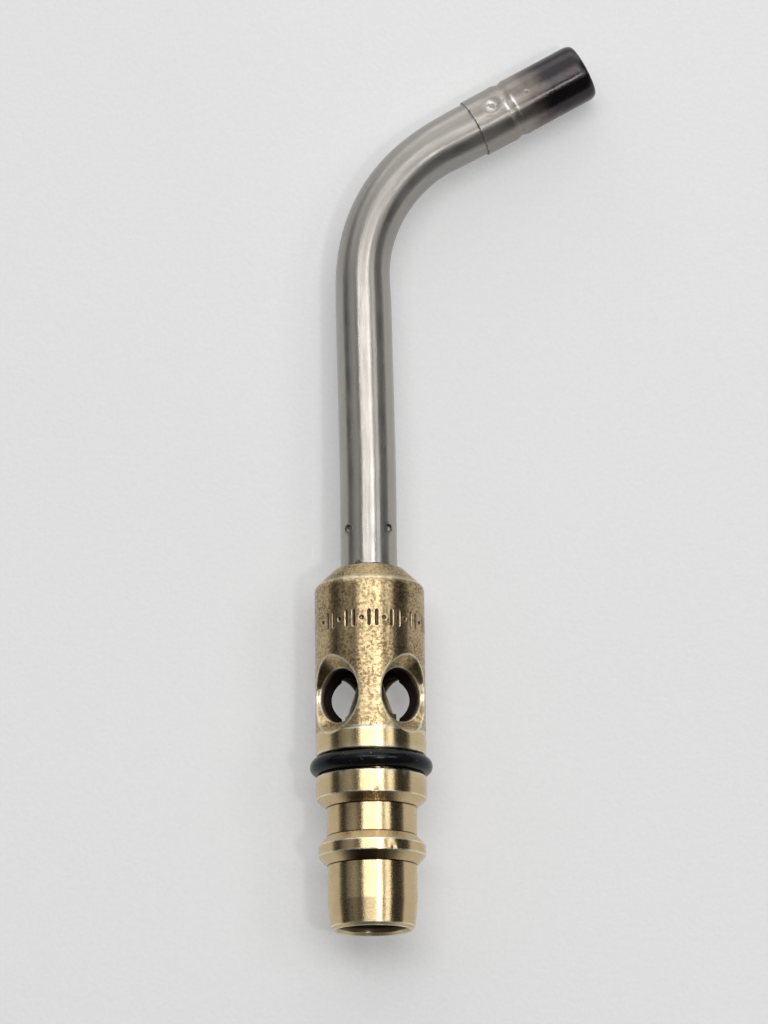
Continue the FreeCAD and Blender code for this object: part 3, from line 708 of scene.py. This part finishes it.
def make_braze(material):
    """Uneven fillet of silver braze round the neck, with one raised bead."""
    foot, top = braze_low.y, braze_high.y
    rows = []
    for bearing in full_turn(BRAZE_AROUND):
        here = Vector((math.sin(bearing) * 2.4, math.cos(bearing) * 2.4, 0.3))
        rise = 0.07 * noise.noise(here * 1.3) + 0.03 * noise.noise(here * 4)
        bead = bell(math.remainder(bearing - BEAD_ANGLE, TURN) * NECK_RADIUS, 0, BEAD_WIDTH)
        lift = rise + BEAD_HEIGHT * bead
        corners = (
            (NECK_RADIUS - 0.03, foot),
            (CHAMBER_RADIUS - 0.01, foot),
            (CHAMBER_RADIUS - 0.01, BARREL_TOP - 0.4),
            (4.5, BARREL_TOP - 0.02),
            (4.5 + 0.25 * bead, BARREL_TOP + 0.02 + 0.2 * bead),
            (4.3 + 0.3 * bead, BARREL_TOP + 0.1 + rise * 0.6 + 0.55 * bead),
            (NECK_RADIUS + 0.05 + 0.05 * bead, top - 0.12 + lift),
            (NECK_RADIUS - 0.03, top - 0.03 + lift),
        )
        shares = np.linspace(0, len(corners), BRAZE_TURNS, endpoint=False)
        loop = np.array(corners + corners[:1])
        radius = np.interp(shares, range(len(loop)), loop[:, 0])
        along = np.interp(shares, range(len(loop)), loop[:, 1])
        rows.append(turned_ring(radius, along, np.full(BRAZE_TURNS, bearing)))
    ring_piece("neck_braze", rows, material, "silver_braze", "braze_ring")


# ---------------- neck and flame tube


def neck_line(stations):
    """Centre (x, y) and heading of the neck at each distance from its foot."""
    fine = np.arange(0, LINE_LENGTH, LINE_STEP)
    turn = np.interp(fine, NECK_KNOTS, NECK_HEADINGS)
    middle = np.interp(fine + LINE_STEP / 2, NECK_KNOTS, NECK_HEADINGS)
    across = np.concatenate([[0], np.cumsum(np.sin(middle) * LINE_STEP)[:-1]])
    along = NECK_FOOT + np.concatenate([[0], np.cumsum(np.cos(middle) * LINE_STEP)[:-1]])
    return (
        np.interp(stations, fine, across),
        np.interp(stations, fine, along),
        np.interp(stations, fine, turn),
    )


def sweep(stations, turns, radius):
    """Rings round the neck's line. Angles run from the inside of the bend towards +Z."""
    across, along, heading = neck_line(stations)
    inside = np.stack([np.cos(heading), -np.sin(heading), np.zeros(len(heading))], axis=1)
    centre = np.stack([across, along, np.zeros(len(along))], axis=1)
    flat = (radius * np.cos(turns))[..., None] * inside[:, None, :]
    rise = (radius * np.sin(turns))[..., None] * np.array([0, 0, 1])
    return centre[:, None, :] + flat + rise


def distance_on_tube(along, turns, middle, angle, radius):
    """Distance on a tube's wall from each point to a place at this angle, in degrees."""
    away = np.remainder(turns - math.radians(angle) + math.pi, TURN) - math.pi
    return np.hypot(along - middle, away * radius)


def tube_piece(name, stations, outer, inner, turns, material, slot, nodes, worn_and_glint=0.0, dirt_and_shade=0.0):
    """A closed tube with an outer and an inner wall, and the values its material reads.

    worn_and_glint and dirt_and_shade are the least wear and shade of each point of the outer wall, and carry
    painted glints and painted shade as well as real wear and dirt.
    """
    around = len(turns)
    skin = Skin()
    outside = sweep(stations, turns, outer)
    inside = sweep(stations, turns, inner)
    skin.add_grid(np.concatenate([outside, inside[::-1]]), closed=True)
    mesh = new_piece(name, skin.points[0], skin.faces, material, slot, nodes).data
    heading = neck_line(stations)[2]
    course = np.stack([np.sin(heading), np.cos(heading), np.zeros(len(heading))], axis=1)

    def straight(radius):
        return np.stack([
            radius * np.cos(turns),
            np.broadcast_to(stations[:, None], radius.shape),
            radius * np.sin(turns),
        ], axis=-1)

    place = np.concatenate([straight(outer), straight(inner)[::-1]]).reshape(-1, 3)
    grain = np.repeat(np.concatenate([course, course[::-1]]), around, axis=0)
    set_value(mesh, "place", place)
    set_value(mesh, "grain", grain)
    # soot and painted shade on the inner wall
    within = np.zeros(len(place))
    within[len(place) // 2:] = 1.0
    set_value(mesh, "soot_and_shade", within)
    least = np.zeros((2, len(place)))
    for values, given in zip(least, (worn_and_glint, dirt_and_shade)):
        values[:len(place) // 2] = np.broadcast_to(given, outer.shape).reshape(-1)
    set_edges(mesh, least[0], protected=True, dirt_and_shade=least[1])


def make_neck(material):
    """Bent stainless neck: flattened a little in its bend, with four stake marks."""
    turns = full_turn(TUBE_AROUND)
    end = FLAME_START + FLAME_LAP
    stake_station = STAKE_AT - NECK_FOOT
    coarse = np.arange(0.1, end - 0.1, NECK_STEP)
    coarse = coarse[np.abs(coarse - stake_station) > 1.0]
    fine = np.arange(stake_station - 0.96, stake_station + 0.97, STAKE_STEP)
    stations = np.sort(np.concatenate([[0, 0.05], coarse, fine, [end - 0.05, end]]))
    grid = np.broadcast_to(stations[:, None], (len(stations), TUBE_AROUND))

    # the bend: flatter in its own plane, with a soft start and end
    in_bend = smooth_step(BEND_START - 5, BEND_START + 6, grid)
    in_bend = in_bend * smooth_step(BEND_END + 4, BEND_END - 5, grid)
    flattened = np.hypot((1 - BEND_FLATTENING * in_bend) * np.cos(turns), np.sin(turns))
    inner = NECK_BORE * flattened
    outer = NECK_RADIUS * flattened + 0.012 * np.sin(grid / 3.1 + 1.3) * np.cos(turns - 0.4) * in_bend

    # stake marks: a round punch, with a slightly raised rim and painted shade in its corner
    dirt_and_shade = np.zeros(grid.shape)
    for stake in range(STAKE_COUNT):
        angle = 45 + stake * 360 / STAKE_COUNT
        distance = distance_on_tube(grid, turns, stake_station, angle, NECK_RADIUS)
        bowl = np.sqrt(np.maximum(STAKE_RADIUS ** 2 - distance ** 2, 0)) - (STAKE_RADIUS - STAKE_DEPTH)
        outer = outer - np.maximum(bowl, 0) + 0.03 * bell(distance, STAKE_RADIUS, 0.1)
        dirt_and_shade = np.maximum(dirt_and_shade, bell(distance / STAKE_RADIUS, 0.85, 0.3))
    tube_piece(
        "neck", stations, outer, inner, turns, material, "neck_stainless", ("neck_tube",), dirt_and_shade=dirt_and_shade
    )


def make_flame_tube(material):
    """Thin sleeve with punched dimples, a rolled groove and a mouth rolled slightly inwards."""
    turns = full_turn(TUBE_AROUND)
    local = np.sort(np.concatenate([
        [0, 0.03, 0.06, 0.1],
        np.arange(0.2, FLAME_LENGTH - 1.2, 0.1),
        FLAME_LENGTH - np.geomspace(1.15, 0.02, 16),
        [FLAME_LENGTH],
    ]))
    grid = np.broadcast_to(local[:, None], (len(local), TUBE_AROUND))
    outer = FLAME_RADIUS - 0.02 - 0.06 * (1 - smooth_step(0, 0.1, grid))

    # rolled groove, with a low bead on each side of it
    uneven = 0.06 * np.sin(2 * turns + 0.8) + 0.04 * np.sin(3 * turns)
    off_roll = (grid - ROLL_AT - uneven) / 0.5
    outer = outer - ROLL_DEPTH * bell(off_roll, 0, 1)
    outer = outer + 0.035 * bell(np.abs(off_roll), 2.1, 0.6)

    dents = (
        # place along the sleeve, angle in degrees, radius, depth, strength of its painted glint
        (3.3, 101.0, 1.3, 0.3, 1.0),
        (8.8, 91.0, 0.3, 0.05, 0.0),
        (3.3, 281.0, 1.3, 0.3, 1.0),
    )
    worn_and_glint = np.zeros(grid.shape)
    for along, angle, size, depth, glint in dents:
        distance = distance_on_tube(grid, turns, along, angle, FLAME_RADIUS) / size
        outer = outer - depth * (1 - smooth_step(0.2, 1.05, distance)) + 0.03 * bell(distance, 1.2, 0.16)
        worn_and_glint = np.maximum(worn_and_glint, glint * bell(distance, 0.1, 0.5))
    # painted glint on the beads beside the rolled groove, on the upper side
    glint_side = bell(turns, math.radians(80), 0.42, 4)
    worn_and_glint = np.maximum(worn_and_glint, glint_side * bell(np.abs(off_roll), 1.3, 0.4))

    from_mouth = np.clip((grid - (FLAME_LENGTH - LIP_LENGTH)) / LIP_LENGTH, 0, 1)
    outer = outer - LIP_DROP * (1 - np.sqrt(np.maximum(1 - from_mouth ** 2, 0)))
    outer = np.minimum(outer, FLAME_RADIUS + 0.02)
    inner = np.minimum(outer - FLAME_WALL, FLAME_RADIUS - FLAME_WALL)
    tube_piece(
        "flame_sleeve", local + FLAME_START, outer, inner, turns, material, "flame_stainless",
        ("flame_tube",), worn_and_glint, dirt_and_shade=1 - smooth_step(0.05, 0.3, grid),
    )


# ---------------- material nodes


def set_inputs(tree, node, inputs):
    """Gives each input of a node a plain value, a colour of three numbers, or another node's socket."""
    for name, value in inputs.items():
        socket = node.inputs[name]
        if isinstance(value, bpy.types.NodeSocket):
            tree.links.new(value, socket)
        elif socket.type == "RGBA":
            socket.default_value = (*value, 1.0)
        else:
            socket.default_value = value


def add_node(tree, kind, inputs=None, **settings):
    """A node with its settings and inputs."""
    node = tree.nodes.new(kind)
    for name, value in settings.items():
        setattr(node, name, value)
    set_inputs(tree, node, inputs or {})
    return node


def attribute(tree, name, output="Fac"):
    """A value stored in the mesh."""
    return add_node(tree, "ShaderNodeAttribute", attribute_name=name).outputs[output]


def noise_at(tree, place, scale, detail=3.0, roughness=0.55, stretch=(1, 1, 1)):
    """Noise in features per millimetre. stretch multiplies the scale along each axis."""
    mapped = add_node(tree, "ShaderNodeMapping", {"Vector": place, "Scale": stretch})
    return add_node(tree, "ShaderNodeTexNoise", {
        "Vector": mapped.outputs["Vector"],
        "Scale": scale,
        "Detail": detail,
        "Roughness": roughness,
    }).outputs["Fac"]


def ranged(tree, value, low, high, to_low=0.0, to_high=1.0, smooth=False):
    """Carries the range low..high over to another one, and stops at its ends."""
    return add_node(
        tree,
        "ShaderNodeMapRange",
        {"Value": value, "From Min": low, "From Max": high, "To Min": to_low, "To Max": to_high},
        interpolation_type="SMOOTHSTEP" if smooth else "LINEAR",
    ).outputs["Result"]


def combine(tree, operation, first, second):
    return add_node(tree, "ShaderNodeMath", {0: first, 1: second}, operation=operation).outputs[0]


def blend_color(tree, share, first, second):
    return add_node(tree, "ShaderNodeMix", {0: share, 6: first, 7: second}, data_type="RGBA").outputs[2]


def blend_number(tree, share, first, second):
    return add_node(tree, "ShaderNodeMix", {0: share, 2: first, 3: second}, data_type="FLOAT").outputs[0]


def new_material(name):
    """A material with an empty tree: returns it, its tree and its main shader."""
    material = bpy.data.materials.new(name)
    material.use_nodes = True
    tree = material.node_tree
    tree.nodes.clear()
    shader = tree.nodes.new("ShaderNodeBsdfPrincipled")
    output = tree.nodes.new("ShaderNodeOutputMaterial")
    tree.links.new(shader.outputs["BSDF"], output.inputs["Surface"])
    return material, tree, shader


def bump(tree, heights):
    """A bump from (height socket, millimetres) pairs."""
    total = None
    for height, size in heights:
        scaled = combine(tree, "MULTIPLY", height, size)
        total = scaled if total is None else combine(tree, "ADD", total, scaled)
    return add_node(tree, "ShaderNodeBump", {"Height": total, "Distance": MM}).outputs["Normal"]


def cad_place(tree):
    """Place in millimetres on a CAD node, which has no stored values."""
    object_place = add_node(tree, "ShaderNodeTexCoord").outputs["Object"]
    return add_node(
        tree, "ShaderNodeVectorMath", {0: object_place, "Scale": 1 / MM}, operation="SCALE"
    ).outputs["Vector"]


# ---------------- materials


def barrel_material():
    """Turned brass: bright below the fine turned line, dull and mottled above it, black with soot and
    painted shade inside, with painted shade in corners and a painted highlight on the turned line.
    """
    material, tree, shader = new_material("turned_brass")
    place = attribute(tree, "place", "Vector")
    soot_and_shade = attribute(tree, "soot_and_shade")
    grime_and_shade = attribute(tree, "grime_and_shade")
    along = add_node(tree, "ShaderNodeSeparateXYZ", {0: place}).outputs["Y"]
    cloud = noise_at(tree, place, 0.32, 4)
    mottle = noise_at(tree, place, 2.6, 4, 0.65)
    patches = ranged(tree, noise_at(tree, place, 0.9, 3), 0.35, 0.6, 0.35, 1.0)
    wear_and_glint = combine(tree, "MULTIPLY", attribute(tree, "wear_and_glint"), patches)
    speck = noise_at(tree, place, 5.5, 2, 0.6)
    lines = noise_at(tree, place, 1.0, 4, 0.75, (0.15, 9.0, 0.15))

    upper = ranged(tree, along, WITNESS_AT - 0.1, WITNESS_AT + 0.1)
    pitted = ranged(tree, upper, 0, 1, 0.15, 1.0)
    patchy = ranged(tree, mottle, 0.38, 0.62, smooth=True)
    dull_low = ranged(tree, cloud, 0.45, 0.75, 0.0, 0.22)
    dull_high = ranged(tree, cloud, 0.3, 0.7, 0.45, 0.95)
    dull = blend_number(tree, upper, dull_low, dull_high)
    dull = combine(tree, "MULTIPLY", dull, ranged(tree, patchy, 0, 1, 0.6, 1.1))
    dull = combine(tree, "MULTIPLY", dull, ranged(tree, wear_and_glint, 0, 1, 1.0, 0.15))

    clean = blend_color(tree, lines, (0.56, 0.425, 0.225), (0.66, 0.52, 0.30))
    tarnished = blend_color(tree, patchy, (0.385, 0.285, 0.155), (0.15, 0.105, 0.053))
    color = blend_color(tree, dull, clean, tarnished)
    # edge wear, and a painted highlight on the turned line
    color = blend_color(tree, wear_and_glint, color, (0.98, 0.92, 0.74))
    # painted shade: darker in concave corners and on the upper flanks of the ridge and the flange
    color = blend_color(tree, combine(tree, "MULTIPLY", grime_and_shade, 0.93), color, (0.06, 0.03, 0.012))
    # soot, and painted shade in the bores and the inlet
    color = blend_color(tree, soot_and_shade, color, (0.010, 0.005, 0.004))

    roughness = blend_number(tree, dull, 0.27, 0.37)
    roughness = blend_number(tree, wear_and_glint, roughness, 0.5)
    uneven = combine(tree, "MULTIPLY", ranged(tree, mottle, 0.3, 0.7, -0.04, 0.05), pitted)
    roughness = combine(tree, "ADD", roughness, uneven)
    roughness = blend_number(tree, soot_and_shade, roughness, 0.75)
    metallic = ranged(tree, soot_and_shade, 0, 1, 1.0, 0.0)
    normal = bump(tree, (
        (lines, 0.006),
        (combine(tree, "MULTIPLY", mottle, pitted), 0.014),
        (combine(tree, "MULTIPLY", ranged(tree, speck, 0.6, 0.75, smooth=True), pitted), -0.012),
    ))
    set_inputs(tree, shader, {
        "Base Color": color,
        "Metallic": metallic,
        "Roughness": roughness,
        "Specular IOR Level": 0.08,
        "Anisotropic": 0.95,
        "Tangent": attribute(tree, "grain", "Vector"),
        "Normal": normal,
    })
    return material


def steel_material(name, heated):
    """Drawn stainless tube with fine scratches. heated adds the flame tube's burnt colours."""
    material, tree, shader = new_material(name)
    place = attribute(tree, "place", "Vector")
    soot_and_shade = attribute(tree, "soot_and_shade")
    patches = ranged(tree, noise_at(tree, place, 1.5, 2), 0.38, 0.55)
    wear_and_glint = combine(tree, "MULTIPLY", attribute(tree, "wear_and_glint"), patches)
    grime_and_shade = attribute(tree, "grime_and_shade")
    along = add_node(tree, "ShaderNodeSeparateXYZ", {0: place}).outputs["Y"]
    cloud = noise_at(tree, place, 0.25, 4)
    mottle = noise_at(tree, place, 1.8, 4, 0.6)
    drawn = noise_at(tree, place, 2.2, 3, 0.7, (1.0, 0.06, 1.0))
    turned = noise_at(tree, place, 1.0, 3, 0.7, (0.2, 6.0, 0.2))
    scratch = noise_at(tree, place, 3.0, 2, 0.5, (1.0, 0.25, 0.6))
    scratched = ranged(tree, scratch, 0.66, 0.72, smooth=True)

    color = blend_color(tree, cloud, (0.33, 0.312, 0.285), (0.43, 0.41, 0.38))
    color = blend_color(tree, ranged(tree, mottle, 0.45, 0.8, 0, 0.35), color, (0.33, 0.30, 0.26))
    # painted shade in concave corners and round the stake marks, and a dark line at the sleeve's edge
    color = blend_color(tree, combine(tree, "MULTIPLY", grime_and_shade, 0.97), color, (0.02, 0.017, 0.015))
    roughness = ranged(tree, drawn, 0.3, 0.7, 0.26, 0.38)
    bent = ranged(tree, along, BEND_START - 4, BEND_START + 8, 0, 0.12, smooth=True)
    roughness = combine(tree, "ADD", roughness, bent)
    metallic = ranged(tree, cloud, 0.3, 0.7, 0.72, 0.9)
    if heated:
        uneven = ranged(tree, cloud, 0.25, 0.75, -1.6, 1.6)
        from_start = combine(tree, "SUBTRACT", combine(tree, "ADD", along, uneven), FLAME_START)
        straw = ranged(tree, from_start, 0.0, 6.0, 0.25, 0.8, smooth=True)
        brown = ranged(tree, from_start, 5.5, 11.0, 0, 0.85, smooth=True)
        black = ranged(tree, from_start, 7.5, 13.0, 0, 0.95, smooth=True)
        color = blend_color(tree, straw, color, (0.34, 0.305, 0.27))
        color = blend_color(tree, brown, color, (0.17, 0.135, 0.12))
        blue = ranged(tree, mottle, 0.4, 0.6, smooth=True)
        burnt = blend_color(tree, blue, (0.034, 0.027, 0.024), (0.030, 0.032, 0.040))
        color = blend_color(tree, black, color, burnt)
        roughness = blend_number(tree, black, roughness, 0.24)
        metallic = blend_number(tree, black, metallic, 0.9)
    # edge wear, and painted glints on the flame tube's dimples and rolled groove
    color = blend_color(tree, wear_and_glint, color, (0.95, 0.93, 0.89))
    # soot and painted shade on the tubes' inner walls
    color = blend_color(tree, soot_and_shade, color, (0.03, 0.025, 0.022))
    roughness = blend_number(tree, soot_and_shade, roughness, 0.7)
    normal = bump(tree, (
        (drawn, 0.008),
        (turned, 0.003),
        (mottle, 0.012),
        (scratched, -0.004),
    ))
    set_inputs(tree, shader, {
        "Base Color": color,
        "Metallic": metallic,
        "Roughness": roughness,
        "Anisotropic": 0.95,
        "Tangent": attribute(tree, "grain", "Vector"),
        "Normal": normal,
    })
    return material


def rubber_material():
    """Black nitrile, lightly greased, with a few pale specks of dust."""
    material, tree, shader = new_material("black_nitrile")
    place = attribute(tree, "place", "Vector")
    fine = noise_at(tree, place, 7.0, 3, 0.6)
    smear = noise_at(tree, place, 0.9, 3)
    speck = noise_at(tree, place, 4.2, 1, 0.4)
    dusty = ranged(tree, speck, 0.74, 0.78)
    color = blend_color(tree, smear, (0.003, 0.003, 0.004), (0.007, 0.007, 0.008))
    color = blend_color(tree, dusty, color, (0.20, 0.17, 0.12))
    greased = ranged(tree, smear, 0.3, 0.7, 0.14, 0.3)
    roughness = combine(tree, "ADD", greased, combine(tree, "MULTIPLY", dusty, 0.3))
    set_inputs(tree, shader, {
        "Base Color": color,
        "Roughness": roughness,
        "Specular IOR Level": 0.16,
        "Normal": bump(tree, ((fine, 0.006), (smear, 0.01))),
    })
    return material


def braze_material():
    """Silver braze with dark patches of flux."""
    material, tree, shader = new_material("dull_braze")
    place = attribute(tree, "place", "Vector")
    flux = noise_at(tree, place, 1.6, 4, 0.6)
    fine = noise_at(tree, place, 6.0, 3, 0.6)
    color = blend_color(tree, ranged(tree, flux, 0.35, 0.65), (0.03, 0.024, 0.02), (0.16, 0.13, 0.10))
    set_inputs(tree, shader, {
        "Base Color": color,
        "Metallic": ranged(tree, flux, 0.35, 0.65, 0.4, 0.9),
        "Roughness": ranged(tree, fine, 0.3, 0.7, 0.38, 0.6),
        "Normal": bump(tree, ((flux, 0.03), (fine, 0.008))),
    })
    return material


def inner_metal(name, clean, stained, scale, rough, grain_height):
    """Metal of an inner CAD piece: its own colour, stained in patches.

    scale is in features per millimetre, and grain_height in millimetres.
    """
    material, tree, shader = new_material(name)
    place = cad_place(tree)
    stain = noise_at(tree, place, 0.7, 4, 0.6)
    grain = noise_at(tree, place, scale, 3, 0.6)
    set_inputs(tree, shader, {
        "Base Color": blend_color(tree, ranged(tree, stain, 0.3, 0.65, smooth=True), clean, stained),
        "Metallic": ranged(tree, stain, 0.3, 0.65, 1.0, 0.6),
        "Roughness": ranged(tree, grain, 0.3, 0.7, rough - 0.08, rough + 0.1),
        "Normal": bump(tree, ((grain, grain_height),)),
    })
    return material


def table_material():
    """Plain pale matt surface with the faintest grain. It glows a little, which softens its shadows."""
    material, tree, shader = new_material("pale_table")
    place = cad_place(tree)
    broad = noise_at(tree, place, 0.012, 3)
    grain = noise_at(tree, place, 1.4, 3, 0.6)
    color = blend_color(tree, broad, (0.47, 0.47, 0.47), (0.50, 0.50, 0.50))
    color = blend_color(tree, ranged(tree, grain, 0.3, 0.7, 0.0, 0.35), color, (0.43, 0.43, 0.43))
    set_inputs(tree, shader, {
        "Base Color": color,
        "Roughness": 0.85,
        "Specular IOR Level": 0.2,
        "Emission Color": (1.0, 1.0, 1.0),
        "Emission Strength": 0.25,
        "Normal": bump(tree, ((grain, 0.05),)),
    })
    return material


def paint_cad(node, material):
    """Gives a CAD node that stays a better material."""
    for material_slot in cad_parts[node].material_slots:
        material_slot.material = material


# ---------------- the object

make_barrel(barrel_material())
make_o_ring(rubber_material())
make_braze(braze_material())
make_neck(steel_material("drawn_stainless", heated=False))
make_flame_tube(steel_material("burnt_stainless", heated=True))

INNER_METALS = (
    # CAD node, material, clean colour, stained colour, scale and roughness of the grain, its height
    ("gas_jet", "sooty_jet_brass", (0.42, 0.30, 0.15), (0.05, 0.035, 0.02), 3.0, 0.4, 0.01),
    ("venturi_insert", "venturi_brass", (0.55, 0.40, 0.2), (0.1, 0.07, 0.04), 3.0, 0.4, 0.006),
    ("swirler", "sooty_swirler", (0.14, 0.12, 0.11), (0.02, 0.018, 0.016), 3.0, 0.55, 0.015),
    ("gas_filter", "sintered_bronze", (0.4, 0.27, 0.14), (0.12, 0.08, 0.05), 9.0, 0.6, 0.06),
    ("filter_retainer", "spring_steel", (0.45, 0.45, 0.46), (0.16, 0.15, 0.14), 4.0, 0.35, 0.006),
)
for cad_node, *finish in INNER_METALS:
    paint_cad(cad_node, inner_metal(*finish))


# ---------------- table, light and camera

LOOK_AT = Vector((2.26, 61.24, 0.0)) * MM
CAMERA_LENS = 176.3
CAMERA_DISTANCE = 0.7286
# how the camera leans and turns, in degrees
CAMERA_LEAN = 13.3
CAMERA_SIDE = 0.5
CAMERA_ROLL = -0.68

ROOM_COLOR = (0.9, 0.92, 1.0, 1.0)
ROOM_STRENGTH = 0.035
LIGHTS = (
    # name, angles in degrees towards +X and +Y, distance and sizes in metres, power in watts
    ("low_key", 2.0, 9.0, 1.0, (0.93, 0.30), 5.2),
    ("high_key", 2.0, 38.0, 1.0, (0.93, 0.8), 3.0),
    ("side_key", 40.0, 0.0, 1.0, (0.42, 0.26), 1.3),
    ("left_glow", -50.0, 38.0, 1.0, (0.8, 0.6), 0.8),
    ("far_fill", 0.0, 76.0, 1.6, (2.6, 0.9), 16.0),
    ("small_lamp", 18.0, -16.0, 1.0, (0.07, 0.07), 1.6),
)


def resting_plane():
    """The table z = a + b y + c x that touches the O-ring, the shoulder's edge and the flame tube, in mm."""
    across, along = neck_line(np.array([FLAME_START + FLAME_LENGTH - LIP_LENGTH]))[:2]
    rows = np.array([
        [1, RING_AT, 0],
        [1, SHOULDER_AT - SHOULDER_ROUND / 2, 0],
        [1, float(along[0]), float(across[0])],
    ])
    heights = np.array([-ring_high.x, -BARREL_RADIUS, -FLAME_RADIUS])
    return np.linalg.solve(rows, heights)


def make_table(material):
    """A pale table top under the tip."""
    base, up_slope, side_slope = resting_plane()
    reach = 1500.0
    clearance = 0.02
    corners = []
    for across, along in ((-reach, -reach), (reach, -reach), (reach, reach), (-reach, reach)):
        corners.append((across, along, base - clearance + up_slope * along + side_slope * across))
    mesh = bpy.data.meshes.new("table")
    mesh.from_pydata((np.array(corners) * MM).tolist(), [], [(0, 1, 2, 3)])
    mesh.materials.append(material)
    table = bpy.data.objects.new("table", mesh)
    bpy.context.scene.collection.objects.link(table)


def add_light(name, side_angle, up_angle, distance, size, power):
    """A soft white rectangular light, seen from the tip at these angles from straight up."""
    data = bpy.data.lights.new(name, "AREA")
    data.shape = "RECTANGLE"
    data.size, data.size_y = size
    data.energy = power
    light = bpy.data.objects.new(name, data)
    bpy.context.scene.collection.objects.link(light)
    across = math.tan(math.radians(side_angle))
    along = math.tan(math.radians(up_angle))
    direction = Vector((across, along, 1)).normalized()
    light.location = LOOK_AT + direction * distance
    light.rotation_euler = (-direction).to_track_quat("-Z", "Y").to_euler()


def add_camera():
    """A long lens above the tip, a little towards its inlet."""
    data = bpy.data.cameras.new("camera")
    data.lens = CAMERA_LENS
    data.sensor_width = 36
    data.clip_start = 0.05
    camera = bpy.data.objects.new("camera", data)
    bpy.context.scene.collection.objects.link(camera)
    lean = math.radians(CAMERA_LEAN)
    side = math.radians(CAMERA_SIDE)
    back = Vector((
        math.sin(side),
        -math.sin(lean) * math.cos(side),
        math.cos(lean) * math.cos(side),
    )).normalized()
    up = Vector((0, 1, 0))
    up = (up - back * up.dot(back)).normalized()
    right = up.cross(back)
    roll = Matrix.Rotation(math.radians(CAMERA_ROLL), 4, back)
    turned = Matrix((right, up, back)).transposed().to_4x4()
    camera.matrix_world = Matrix.Translation(LOOK_AT + back * CAMERA_DISTANCE) @ roll @ turned
    bpy.context.scene.camera = camera


make_table(table_material())
for light_settings in LIGHTS:
    add_light(*light_settings)
add_camera()

world = bpy.data.worlds.new("dim_room")
world.use_nodes = True
background = world.node_tree.nodes["Background"]
background.inputs["Color"].default_value = ROOM_COLOR
background.inputs["Strength"].default_value = ROOM_STRENGTH
bpy.context.scene.world = world
bpy.context.scene.view_settings.view_transform = "Standard"
